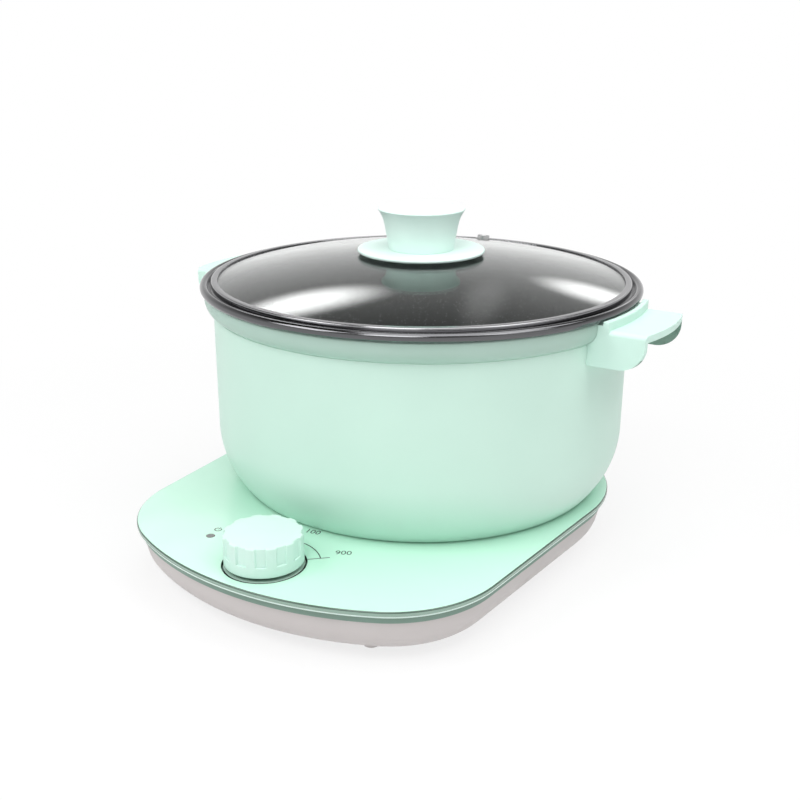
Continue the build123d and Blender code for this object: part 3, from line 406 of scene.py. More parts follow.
class Finishes:
    """Every finish of the hot pot, made once."""

    def __init__(self) -> None:
        """Make the materials."""
        self.knob_plastic = MouldedPlastic("pale_mint_abs", "#E6FBF4", "#E3F9F2", roughness=0.42).make()
        self.dial_plastic = MouldedPlastic("dial_abs", "#D6F2E8", "#D3F0E5", roughness=0.42).make()
        self.handle_plastic = MouldedPlastic("handle_nylon", "#D3F1E6", "#D0EFE3", roughness=0.45).make()
        # A darker copy of the handle's plastic: painted shade under the grip and between the cheeks.
        self.handle_shade = MouldedPlastic("handle_painted_shade", "#86A597", "#829F92", roughness=0.5).make()
        # The band's mint plastic painted dark: painted shade under the glass's overhang.
        self.band_plastic = MouldedPlastic("band_painted_shade_abs", "#809B8E", "#7C978A", roughness=0.42).make()
        # Pale copy for the lip's upright edge: a painted highlight.
        self.lip_highlight = MouldedPlastic("lip_painted_highlight_abs", "#E9FBF4", "#E6F9F1", roughness=0.35).make()
        self.dial_ring = MouldedPlastic("dial_ring_abs", "#A9C2B6", "#A5BFB2", roughness=0.4).make()
        self.groove = MouldedPlastic("groove_shade_abs", "#26302B", "#232C28", roughness=0.6).make()
        self.tray_plastic = MouldedPlastic("tray_polypropylene", "#CCC6C5", "#C9C3C2", roughness=0.5).make()
        self.black_plastic = MouldedPlastic("black_nylon", "#1B1C1C", "#202121", roughness=0.45).make()
        self.board_resin = MouldedPlastic("circuit_board", "#1D5B38", "#1A5433", roughness=0.4).make()
        self.copper_wire = PolishedMetal("enamelled_copper", "#B56A42", roughness=0.3).make()
        self.ferrite = MouldedPlastic("sintered_ferrite", "#35373A", "#2E3032", roughness=0.6).make()
        self.rubber = MouldedPlastic(
            "foot_rubber", "#2A2B2B", "#303131", roughness=0.75, grain=0.8, grain_depth=0.03).make()
        self.silicone = MouldedPlastic("gasket_silicone", "#A9B8B1", "#A3B2AB", roughness=0.55).make()
        self.plate_top = EnamelledGlass(
            "enamelled_glass", "#CAF3E0", "#C7F1DD", roughness=0.34, coat=0.35).make()
        self.plate_edge = EnamelledGlass(
            "enamelled_glass_edge", "#93AEA0", "#8CA799", roughness=0.25, coat=0.6).make()
        # A darker copy of the glass edge for the roundings and chamfer: painted shade.
        self.plate_rim = EnamelledGlass(
            "glass_rim_painted_shade", "#4C6659", "#486154", roughness=0.2, coat=0.6).make()
        self.printed_ink = MouldedPlastic("printed_ink", "#3F4945", "#39433F", roughness=0.4).make()
        self.lens = EnamelledGlass("smoked_lens", "#474B49", "#434745", roughness=0.25, coat=0.5).make()
        self.pot_coat = SprayedCeramic("mint_ceramic_coat", "#CEECDF", "#CBE9DC", roughness=0.42).make()
        # A darker copy of the pot's coat: painted shade on the collar under the lid's ring.
        self.collar_shade = SprayedCeramic("mint_ceramic_painted_shade", "#AFCABF", "#ABC7BB", roughness=0.42).make()
        self.lining = NonStickCoat().make()
        self.lid_glass = ClearGlass().make()
        # One steel in two copies: the lighter paints a highlight on the lip and cove, the darker below paints
        # the bead's dark reflection.
        self.ring_steel = PolishedMetal("rolled_stainless", "#9A9A9C", roughness=0.12).make()
        self.bead_steel_shaded = PolishedMetal("stainless_painted_dark", "#68686A", roughness=0.14).make()
        self.bare_steel = PolishedMetal("bare_steel", "#B9BABA", roughness=0.3).make()
        self.brass = PolishedMetal("turned_brass", "#C8A864", roughness=0.28).make()


# ------------------------------------------------------------------------- modelling


class Side(Enum):
    """Which way a flat start faces."""

    UP = 1
    DOWN = -1


def arc(centre: Point, radius: float, start: float, end: float, steps: int) -> list[Point]:
    """Points on an arc.

    Args:
        centre: Centre of the arc.
        radius: Its radius.
        start: First angle in degrees.
        end: Last angle in degrees.
        steps: Number of stretches.

    Returns:
        The points, both ends included.
    """
    angles = [radians(start + (end - start) * i / steps) for i in range(steps + 1)]
    return [(centre[0] + radius * cos(a), centre[1] + radius * sin(a)) for a in angles]


def tangent_arc(start: Point, direction: Point, end: Point, steps: int) -> list[Point]:
    """Points on the arc that leaves a point in a direction and reaches another point.

    Args:
        start: First point.
        direction: Direction of the arc there.
        end: Last point.
        steps: Number of stretches.

    Returns:
        The points, both ends included.
    """
    length = hypot(*direction)
    side = (-direction[1] / length, direction[0] / length)
    across = (end[0] - start[0], end[1] - start[1])
    radius = (across[0] ** 2 + across[1] ** 2) / (2 * (across[0] * side[0] + across[1] * side[1]))
    centre = (start[0] + side[0] * radius, start[1] + side[1] * radius)
    first = atan2(start[1] - centre[1], start[0] - centre[0])
    turn = (atan2(end[1] - centre[1], end[0] - centre[0]) - first + pi) % (2 * pi) - pi
    return arc(centre, abs(radius), degrees(first), degrees(first + turn), steps)


def axis_of(node: str) -> Point:
    """Where the middle of a node stands, seen from above."""
    low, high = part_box(node)
    return (low.x + high.x) / 2, (low.y + high.y) / 2


def radius_of(node: str) -> float:
    """Half of a node's width."""
    low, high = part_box(node)
    return (high.x - low.x) / 2


def reach_from(axis: Point, point: Vector) -> float:
    """Distance of a point from an upright axis."""
    return hypot(point.x - axis[0], point.y - axis[1])


class Bench:
    """Modelling by operators, with one mesh on the bench at a time."""

    MERGE = 0.002 * MM
    LEVEL_SLACK = 0.001 * MM
    COPLANAR_ANGLE = radians(0.6)
    SMOOTH_ANGLE = radians(32)
    EDGE_ANGLE = radians(38)
    ROUNDING_SEGMENTS = 3

    @staticmethod
    def clear() -> None:
        """Leave edit mode and deselect everything."""
        if bpy.context.object and bpy.context.object.mode != "OBJECT":
            bpy.ops.object.mode_set(mode="OBJECT")
        bpy.ops.object.select_all(action="DESELECT")

    @staticmethod
    def pick(piece: bpy.types.Object) -> None:
        """Make one piece the only selected and active one.

        Args:
            piece: The piece.
        """
        Bench.clear()
        piece.select_set(True)
        bpy.context.view_layer.objects.active = piece

    @staticmethod
    def select(piece: bpy.types.Object, mode: str, test: FaceTest) -> None:
        """Select faces or edges of the piece on the bench by their place.

        Args:
            piece: A piece that is in edit mode, and stays so.
            mode: FACE or EDGE.
            test: Is given a face's middle and normal, or an edge's two ends.
        """
        bpy.ops.mesh.select_mode(type=mode)
        bpy.ops.mesh.select_all(action="DESELECT")
        bpy.ops.object.mode_set(mode="OBJECT")
        mesh = piece.data
        if mode == "FACE":
            for face in mesh.polygons:
                face.select = test(face.center, face.normal)
        else:
            for edge in mesh.edges:
                edge.select = test(*[mesh.vertices[v].co for v in edge.vertices])
        bpy.ops.object.mode_set(mode="EDIT")

    @staticmethod
    def close(piece: bpy.types.Object, smooth: float = SMOOTH_ANGLE) -> bpy.types.Object:
        """Merge doubles, point the normals outwards and shade smooth up to an angle.

        Args:
            piece: A piece in either mode.
            smooth: Largest angle between faces that is shaded smooth.

        Returns:
            The piece, in object mode.
        """
        Bench.pick(piece)
        bpy.ops.object.mode_set(mode="EDIT")
        bpy.ops.mesh.select_all(action="SELECT")
        bpy.ops.mesh.remove_doubles(threshold=Bench.MERGE)
        bpy.ops.mesh.normals_make_consistent(inside=False)
        bpy.ops.object.mode_set(mode="OBJECT")
        bpy.ops.object.shade_smooth_by_angle(angle=smooth)
        return piece

    @staticmethod
    def turned(name: str, profile: list[Point], axis: Point, steps: int = 192) -> bpy.types.Object:
        """Turn a profile about an upright axis.

        Args:
            name: Name of the piece.
            profile: Radius and height of each point, in order.
            axis: Where the axis stands, x and y.
            steps: Stretches of the full turn.

        Returns:
            The closed piece.
        """
        Bench.clear()
        bpy.ops.mesh.primitive_plane_add(size=MM)
        piece = bpy.context.object
        piece.name = piece.data.name = name
        bpy.ops.object.mode_set(mode="EDIT")
        bpy.ops.mesh.merge(type="CENTER")
        bpy.ops.mesh.select_mode(type="VERT")
        bpy.ops.mesh.select_all(action="SELECT")
        start = (axis[0] + profile[0][0], axis[1], profile[0][1])
        bpy.ops.transform.translate(value=start)
        for here, there in zip(profile, profile[1:]):
            move = (there[0] - here[0], 0.0, there[1] - here[1])
            bpy.ops.mesh.extrude_vertices_move(TRANSFORM_OT_translate={"value": move})
        bpy.ops.mesh.select_all(action="SELECT")
        bpy.ops.mesh.spin(steps=steps, angle=2 * pi, center=(axis[0], axis[1], 0.0), axis=(0.0, 0.0, 1.0))
        return Bench.close(piece)

    @staticmethod
    def disc(name: str, radius: float, low: float, high: float, axis: Point, steps: int) -> bpy.types.Object:
        """Turn a plain disc or pin, from one height to another."""
        return Bench.turned(name, [(0.0, low), (radius, low), (radius, high), (0.0, high)], axis, steps)

    @staticmethod
    def flat(name: str, outline: list[Point], height: float, side: Side) -> bpy.types.Object:
        """Start a piece from a flat outline and leave it in edit mode with its face selected.

        Args:
            name: Name of the piece.
            outline: Points seen from above, anticlockwise.
            height: Height of the flat face.
            side: Which way the piece will grow.

        Returns:
            The piece, in edit mode.
        """
        Bench.clear()
        bpy.ops.mesh.primitive_circle_add(vertices=len(outline), fill_type="NGON")
        piece = bpy.context.object
        piece.name = piece.data.name = name
        for vertex, (x, y) in zip(piece.data.vertices, outline):
            vertex.co = (x, y, height)
        bpy.ops.object.mode_set(mode="EDIT")
        bpy.ops.mesh.select_mode(type="FACE")
        bpy.ops.mesh.select_all(action="SELECT")
        bpy.ops.mesh.normals_make_consistent(inside=False)
        bpy.ops.object.mode_set(mode="OBJECT")
        turned_over = piece.data.polygons[0].normal.z * side.value < 0
        bpy.ops.object.mode_set(mode="EDIT")
        if turned_over:
            bpy.ops.mesh.flip_normals()
        return piece

    @staticmethod
    def rise(distance: float) -> None:
        """Extrude the selected face straight up, or down where the distance is negative."""
        bpy.ops.mesh.extrude_region_move(TRANSFORM_OT_translate={"value": (0.0, 0.0, distance)})

    @staticmethod
    def draw_in(distance: float) -> None:
        """Inset the selected face in its plane."""
        bpy.ops.mesh.inset(thickness=distance, depth=0.0, use_boundary=True, use_even_offset=True)

    @staticmethod
    def cut(piece: bpy.types.Object, tool: bpy.types.Object) -> None:
        """Take one solid out of another.

        Args:
            piece: The solid that stays.
            tool: The solid that is taken out, and then deleted.
        """
        Bench.pick(piece)
        modifier = piece.modifiers.new("cut", "BOOLEAN")
        modifier.operation = "DIFFERENCE"
        modifier.solver = "EXACT"
        modifier.object = tool
        bpy.ops.object.modifier_apply(modifier=modifier.name)
        bpy.data.objects.remove(tool)

    @staticmethod
    def softened(node: str, name: str, width: float) -> bpy.types.Object:
        """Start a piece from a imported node's shape and round its edges.

        Args:
            node: Name of the node, which stays as it is.
            name: Name of the new piece.
            width: Width of the rounding.

        Returns:
            The closed piece.
        """
        Bench.clear()
        piece = bpy.data.objects.new(name, bpy.data.objects[node].data.copy())
        piece.data.name = name
        bpy.context.scene.collection.objects.link(piece)
        Bench.pick(piece)
        bpy.ops.object.mode_set(mode="EDIT")
        bpy.ops.mesh.select_all(action="SELECT")
        bpy.ops.mesh.customdata_custom_splitnormals_clear()
        bpy.ops.mesh.remove_doubles(threshold=Bench.MERGE)
        bpy.ops.mesh.dissolve_limited(angle_limit=Bench.COPLANAR_ANGLE)
        Bench.close(piece)
        bevel = piece.modifiers.new("rounding", "BEVEL")
        bevel.width = width
        bevel.segments = Bench.ROUNDING_SEGMENTS
        bevel.limit_method = "ANGLE"
        bevel.angle_limit = Bench.EDGE_ANGLE
        bpy.ops.object.modifier_apply(modifier=bevel.name)
        return Bench.close(piece)

    @staticmethod
    def join(name: str, pieces: list[bpy.types.Object]) -> bpy.types.Object:
        """Make one object of several.

        Args:
            name: Name of the whole.
            pieces: The objects, of which the first takes in the others.

        Returns:
            The whole.
        """
        Bench.pick(pieces[0])
        for piece in pieces:
            piece.select_set(True)
        bpy.ops.object.join()
        pieces[0].name = pieces[0].data.name = name
        return pieces[0]

    @staticmethod
    def dress(piece: bpy.types.Object, *materials: bpy.types.Material) -> None:
        """Give a piece its materials.

        Args:
            piece: The piece.
            *materials: The materials, in slot order.
        """
        piece.data.materials.clear()
        for material in materials:
            piece.data.materials.append(material)

    @staticmethod
    def assign(piece: bpy.types.Object, material: bpy.types.Material, test: FaceTest) -> None:
        """Give faces another of the piece's materials.

        Args:
            piece: The piece, in object mode.
            material: A material that the piece already has.
            test: Is given a face's middle and normal.
        """
        index = piece.data.materials.find(material.name)
        for face in piece.data.polygons:
            if test(face.center, face.normal):
                face.material_index = index


def install(piece: bpy.types.Object, body: str, slot: str, *nodes: str) -> None:
    """Hang a finished piece on its body and hide the nodes that it replaces.

    Args:
        piece: The piece, in object mode, at the origin.
        body: Name of the body that it moves with.
        slot: Not used.
        *nodes: Nodes that it replaces.
    """
    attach(piece, body)
    if nodes:
        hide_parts(*nodes)
    log.info("%s: %d faces, on %s", piece.name, len(piece.data.polygons), body)


def paint_nodes(looks: dict[bpy.types.Material, list[str]]) -> None:
    """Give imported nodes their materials.

    Args:
        looks: Material to the names of the nodes that wear it.
    """
    for material, names in looks.items():
        for name in names:
            Bench.dress(bpy.data.objects[name], material)


# ------------------------------------------------------------------------- base


@dataclass
class HobPlan:
    """Outline of the base from above: bowed front and back, leaning sides, round corners."""

    front: float
    back: float
    width: float = 254.9 * MM
    side_lean: float = radians(3.9)
    front_bow: float = 187.9 * MM
    front_corner: float = 70.3 * MM
    back_bow: float = 135.4 * MM
    back_corner: float = 93.0 * MM

    def _corner(self, bow_y: float, bow: float, corner: float, end: int) -> tuple[Point, float, float]:
        """Find the circle that joins a bow to the leaning side.

        Args:
            bow_y: Where the bow's centre stands on the middle line.
            bow: Radius of the bow.
            corner: Radius of the corner.
            end: -1 at the front, 1 at the back.

        Returns:
            The corner's centre, and the angles in degrees at which it leaves the bow and meets the side.
        """
        along = Vector((sin(self.side_lean), cos(self.side_lean)))
        out = Vector((cos(self.side_lean), -sin(self.side_lean)))
        middle = Vector((self.width / 2, (self.front + self.back) / 2))
        start = middle - out * corner - Vector((0.0, bow_y))
        half = start.dot(along)
        reach = sqrt(half**2 - start.dot(start) + (bow - corner) ** 2)
        centre = middle - out * corner + along * (-half + end * reach)
        bow_angle = atan2(centre.y - bow_y, centre.x)
        return (centre.x, centre.y), degrees(bow_angle), degrees(-self.side_lean)

    def outline(self) -> list[Point]:
        """Lay out the whole outline.

        Returns:
            Its points, anticlockwise from the middle of the front.
        """
        front_y = self.front + self.front_bow
        back_y = self.back - self.back_bow
        front_centre, front_angle, side_angle = self._corner(front_y, self.front_bow, self.front_corner, -1)
        back_centre, back_angle, _ = self._corner(back_y, self.back_bow, self.back_corner, 1)
        right = (arc((0.0, front_y), self.front_bow, -90.0, front_angle, steps=14)
                 + arc(front_centre, self.front_corner, front_angle, side_angle, steps=36)[1:]
                 + arc(back_centre, self.back_corner, side_angle, back_angle, steps=40)
                 + arc((0.0, back_y), self.back_bow, back_angle, 90.0, steps=10)[1:])
        left = [(-x, y) for x, y in reversed(right[1:-1])]
        return right + left


@dataclass
class Base:
    """The induction base: a glass plate on a band, over a tray with feet."""

    finishes: Finishes
    plate_rounding: float = 0.9 * MM
    plate_chamfer: float = 0.5 * MM
    band_inset: float = 3.0 * MM
    lip_inset: float = 0.8 * MM
    lip_height: float = 1.0 * MM
    band_wall: float = 2.2 * MM
    deck: float = 2.0 * MM
    plate_rim: float = 0.3 * MM
    dial_hole: float = 24.3 * MM
    hole_steps: int = 128

    def __post_init__(self) -> None:
        """Read the places from the frame."""
        low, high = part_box("hob_glass")
        self.bottom_z, self.top_z = low.z, high.z
        self.plan = HobPlan(low.y, high.y)
        self.tray_top_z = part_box("lower_housing")[1].z
        self.dial_axis = axis_of("dial_cup")

    def build(self) -> None:
        """Build and dress the base."""
        self.plate()
        self.band()
        self.dress_nodes()

    def plate(self) -> None:
        """Glass plate with a rounded upper edge, a fine lower chamfer and a hole for the dial."""
        plate = Bench.flat("glass_plate", self.plan.outline(), self.bottom_z, Side.UP)
        Bench.rise(self.top_z - self.bottom_z)
        under_top, over_foot = self.top_z - Bench.LEVEL_SLACK, self.bottom_z + Bench.LEVEL_SLACK
        Bench.select(plate, "EDGE", lambda a, b: min(a.z, b.z) > under_top)
        bpy.ops.mesh.bevel(offset=self.plate_rounding, segments=5, clamp_overlap=False)
        Bench.select(plate, "EDGE", lambda a, b: max(a.z, b.z) < over_foot)
        bpy.ops.mesh.bevel(offset=self.plate_chamfer, segments=1, clamp_overlap=False)
        # A narrow rim inside the rounding keeps the flat top's shading flat.
        Bench.select(plate, "FACE", lambda middle, normal: normal.z > LEVEL_FACE)
        Bench.draw_in(self.plate_rim)
        Bench.close(plate)
        # The tool stands out of the plate by a millimetre at both ends.
        Bench.cut(plate, Bench.disc("hole", self.dial_hole, self.bottom_z - MM, self.top_z + MM,
                                    self.dial_axis, self.hole_steps))
        Bench.close(plate)
        finish = self.finishes
        Bench.dress(plate, finish.plate_top, finish.plate_edge, finish.plate_rim, finish.groove)
        # Roundings and the chamfer take the darker copy, as painted shade on the glass's edge.
        Bench.assign(plate, finish.plate_rim, lambda middle, normal: abs(normal.z) < ROUNDED_FACE)
        Bench.assign(plate, finish.plate_edge, lambda middle, normal: abs(normal.z) < UPRIGHT_FACE)
        Bench.assign(plate, finish.groove, lambda middle, normal: (
            abs(normal.z) < UPRIGHT_FACE and reach_from(self.dial_axis, middle) < self.dial_hole + MM))
        install(plate, "base", "hob_glass", "hob_glass")

    def band(self) -> None:
        """Upper housing: a thin lip under the glass, a band set in under it, hollow inside; it is painted
        dark as shade, and the lip's upright edge pale as a highlight.
        """
        band = Bench.flat("band", self.plan.outline(), self.bottom_z, Side.DOWN)
        Bench.draw_in(self.lip_inset)
        bpy.ops.mesh.select_all(action="INVERT")
        bpy.ops.mesh.delete(type="FACE")
        bpy.ops.mesh.select_all(action="SELECT")
        Bench.rise(-self.lip_height)
        Bench.draw_in(self.band_inset - self.lip_inset)
        Bench.rise(self.tray_top_z - self.bottom_z + self.lip_height)
        Bench.draw_in(self.band_wall)
        Bench.rise(self.bottom_z - self.deck - self.tray_top_z)
        Bench.close(band)
        # The band wears a dark colour that stands for the shade under the glass.
        Bench.dress(band, self.finishes.band_plastic, self.finishes.lip_highlight)
        # The lip's upright faces take the pale copy, as a painted highlight.
        lip_foot = self.bottom_z - self.lip_height
        Bench.assign(band, self.finishes.lip_highlight, lambda middle, normal: (
            middle.z > lip_foot and abs(normal.z) < UPRIGHT_FACE))
        install(band, "base", "band_plastic", "upper_housing")

    def dress_nodes(self) -> None:
        """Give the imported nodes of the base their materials."""
        finish = self.finishes
        paint_nodes({
            finish.tray_plastic: ["lower_housing"],
            finish.rubber: ["rubber_feet"],
            finish.bare_steel: ["housing_screws", "small_screws", "encoder_nut", "encoder", "dial_shaft",
                                "inlet_pins", "temperature_sensor", "fan_spindle", "heat_sink"],
            finish.black_plastic: ["mains_inlet", "coil_former", "fan_frame", "fan_impeller",
                                   "power_transistor"],
            finish.board_resin: ["control_board", "power_board"],
            finish.lens: ["indicator_light", "filter_capacitors"],
            finish.silicone: ["mica_sheet"],
            finish.copper_wire: ["induction_coil", "mains_choke"],
            finish.ferrite: ["ferrite_bars"],
        })


@dataclass
class Marks:
    """What is on the glass round the dial: a lit window, and a power sign and a scale in ink.

    Places are measured from the dial's axis, and turns and openings are in degrees from +X.
    """

    finishes: Finishes
    thickness: float = 0.04 * MM    # over the glass, and as much in it
    line: float = 0.65 * MM
    window_place: Point = (-48.6 * MM, 9.7 * MM)
    window_radius: float = 2.75 * MM
    sign_place: Point = (-50.4 * MM, 18.6 * MM)
    sign_radius: float = 2.0 * MM
    sign_opening: Point = (120.0, 420.0)
    sign_bar: Point = (0.4 * MM, 2.8 * MM)
    tick_turn: float = 42.5
    tick_start: float = 24.4 * MM
    tick_end: float = 37.2 * MM
    scale_radius: float = 31.9 * MM
    scale_turn: float = 84.5
    low_place: Point = (-0.2 * MM, 46.5 * MM)
    low_turn: float = 10.0
    high_place: Point = (30.8 * MM, 34.0 * MM)
    high_turn: float = 27.0
    figure_height: float = 4.6 * MM
    figure_share: float = 0.7       # a figure's height in the size of its letters
    bow_steps: int = 8              # fewest stretches of a bow
    bow_step: float = 5.0           # degrees to a stretch of a long one
    window_steps: int = 48

    def __post_init__(self) -> None:
        """Read the places from the frame."""
        self.top_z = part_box("hob_glass")[1].z
        self.axis = axis_of("dial_cup")

    def build(self) -> None:
        """Build every mark and join those of ink."""
        tick, half = radians(self.tick_turn), self.line / 2
        along, across = Vector((cos(tick), sin(tick))), Vector((-sin(tick), cos(tick))) * half
        start, end = along * self.tick_start, along * self.tick_end
        corners = [start - across, end - across, end + across, start + across]
        foot, head = self.sign_bar
        marks = [
            self.patch("tick", [tuple(corner) for corner in corners]),
            self.patch("scale", self.bow((0.0, 0.0), self.scale_radius, self.tick_turn, self.scale_turn)),
            self.patch("sign_bow", self.bow(self.sign_place, self.sign_radius, *self.sign_opening)),
            self.patch("sign_bar", [
                (self.sign_place[0] + side * half, self.sign_place[1] + rise)
                for side, rise in ((-1, foot), (1, foot), (1, head), (-1, head))]),
            self.figures("100", self.low_place, self.low_turn),
            self.figures("900", self.high_place, self.high_turn),
        ]
        ink = Bench.join("plate_marks", marks)
        Bench.dress(ink, self.finishes.printed_ink)
        install(ink, "base", "hob_glass")
        window = Bench.disc(
            "indicator_window", self.window_radius, self.top_z - self.thickness, self.top_z + self.thickness,
            (self.axis[0] + self.window_place[0], self.axis[1] + self.window_place[1]), self.window_steps)
        Bench.dress(window, self.finishes.lens)
        install(window, "base", "indicator")

    def bow(self, centre: Point, radius: float, start: float, end: float) -> list[Point]:
        """Outline of a curved line of ink.

        Args:
            centre: Centre of the bow, measured from the dial's axis.
            radius: Radius of the middle of the line.
            start: First angle in degrees.
            end: Last angle in degrees.

        Returns:
            The points of the outline.
        """
        half = self.line / 2
        steps = max(self.bow_steps, int(abs(end - start) / self.bow_step))
        return arc(centre, radius + half, start, end, steps) + arc(centre, radius - half, end, start, steps)

    def patch(self, name: str, outline: list[Point]) -> bpy.types.Object:
        """Thin solid of ink.

        Args:
            name: Name of the patch.
            outline: Points seen from above, measured from the dial's axis.

        Returns:
            The closed patch.
        """
        x, y = self.axis
        patch = Bench.flat(name, [(x + px, y + py) for px, py in outline],
                           self.top_z - self.thickness, Side.UP)
        Bench.rise(2 * self.thickness)
        return Bench.close(patch)

    def figures(self, text: str, place: Point, turn: float) -> bpy.types.Object:
        """Plain figures on the glass.

        Args:
            text: What they say.
            place: Their middle, measured from the dial's axis.
            turn: Direction of reading in degrees from +X.

        Returns:
            The closed figures.
        """
        Bench.clear()
        bpy.ops.object.text_add()
        figures = bpy.context.object
        figures.name = "figures_" + text
        figures.data.body = text
        figures.data.size = self.figure_height / self.figure_share
        figures.data.extrude = self.thickness
        figures.data.align_x = figures.data.align_y = "CENTER"
        bpy.ops.object.convert(target="MESH")
        figures.location = (self.axis[0] + place[0], self.axis[1] + place[1], self.top_z)
        figures.rotation_euler = (0.0, 0.0, radians(turn))
        bpy.ops.object.transform_apply(location=True, rotation=True, scale=True)
        return Bench.close(figures)


# ------------------------------------------------------------------------- dial


@dataclass
class Dial:
    """The dial: a cup with a plain skirt and twelve flutes, over a flat ring in the glass."""

    finishes: Finishes
    flutes: int = 12
    first_flute: float = radians(4.2)
    flute_half: float = radians(7.5)
    flute_depth: float = 1.2 * MM
    flute_skin: float = 1.5 * MM    # depth of the side's edges that are pressed in
    ledge: float = 6.3 * MM
    ledge_loops: tuple[float, ...] = (-0.5 * MM, -0.08 * MM, 0.0, 0.15 * MM)    # heights over the ledge
    ledge_slack: float = 0.01 * MM
    foot_rounding: float = 0.5 * MM
    top_rounding: float = 0.7 * MM
    top_loops: Point = (0.4 * MM, 3.0 * MM)    # below the top's rounding, and in from the side
    wall: float = 3.0 * MM
    smooth: float = radians(24)
    ring_radius: float = 23.1 * MM
    ring_bore: float = 15.0 * MM
    ring_drop: float = 0.1 * MM
    ring_rounding: float = 0.25 * MM
    ring_steps: int = 128
    steps: int = 240

    def __post_init__(self) -> None:
        """Read the places from the frame."""
        low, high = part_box("dial_knob")
        self.foot_z, self.top_z = low.z, high.z
        self.radius = radius_of("dial_knob")
        self.axis = axis_of("dial_knob")

    def build(self) -> None:
        """Build the knob and the ring under it."""
        self.knob()
        self.ring()

    def knob(self) -> None:
        """Turned cup whose side is pressed in at each flute, down to a ledge over the skirt."""
        radius, foot, top = self.radius, self.foot_z, self.top_z
        ledge_z = foot + self.ledge
        inside = radius - self.wall
        low, high = self.foot_rounding, self.top_rounding
        under_top, in_top = self.top_loops
        profile = (
            [(0.0, top - self.wall), (inside, top - self.wall), (inside, foot)]
            + arc((radius - low, foot + low), low, -90.0, 0.0, steps=4)
            + [(radius, ledge_z + rise) for rise in self.ledge_loops]
            + [(radius, top - high - under_top)]
            + arc((radius - high, top - high), high, 0.0, 90.0, steps=4)
            + [(radius - in_top, top), (0.0, top)])
        knob = Bench.turned("dial_grip", profile, self.axis, self.steps)
        Bench.pick(knob)
        bpy.ops.object.mode_set(mode="EDIT")
        pitch = 2 * pi / self.flutes
        x, y = self.axis

        def in_flute(a: Vector, b: Vector) -> bool:
            """Tell whether an edge lies on the side, over the ledge and within a flute.

            Args:
                a: One end of the edge.
                b: Its other end.

            Returns:
                True where both ends do.
            """
            for point in (a, b):
                turn = (atan2(point.y - y, point.x - x) + pitch / 2) % pitch - pitch / 2
                off_side = reach_from(self.axis, point) < radius - self.flute_skin
                if abs(turn) > self.flute_half or off_side or point.z < ledge_z - self.ledge_slack:
                    return False
            return True

        Bench.select(knob, "EDGE", in_flute)
        share = 1 - self.flute_depth / radius
        bpy.ops.transform.resize(value=(share, share, 1.0), center_override=(x, y, top))
        bpy.ops.mesh.select_all(action="SELECT")
        # The operator turns clockwise, seen from above, for a positive value.
        bpy.ops.transform.rotate(value=-self.first_flute, orient_axis="Z", center_override=(x, y, top))
        Bench.close(knob, self.smooth)
        Bench.dress(knob, self.finishes.dial_plastic)
        install(knob, "dial", "dial_plastic", "dial_knob")

    def ring(self) -> None:
        """Flat ring, level with the glass, that the knob stands over."""
        low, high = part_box("dial_cup")
        top = high.z - self.ring_drop
        soft = self.ring_rounding
        ring = Bench.turned("dial_ring", (
            [(self.ring_bore, low.z), (self.ring_radius, low.z)]
            + arc((self.ring_radius - soft, top - soft), soft, 0.0, 90.0, steps=4)
            + [(self.ring_bore, top), (self.ring_bore, low.z)]), self.axis, self.ring_steps)
        Bench.dress(ring, self.finishes.dial_ring, self.finishes.groove)
        Bench.assign(ring, self.finishes.groove, lambda middle, normal: abs(normal.z) < STEEP_FACE)
        install(ring, "base", "dial_trim", "dial_cup")


# ------------------------------------------------------------------------- pot


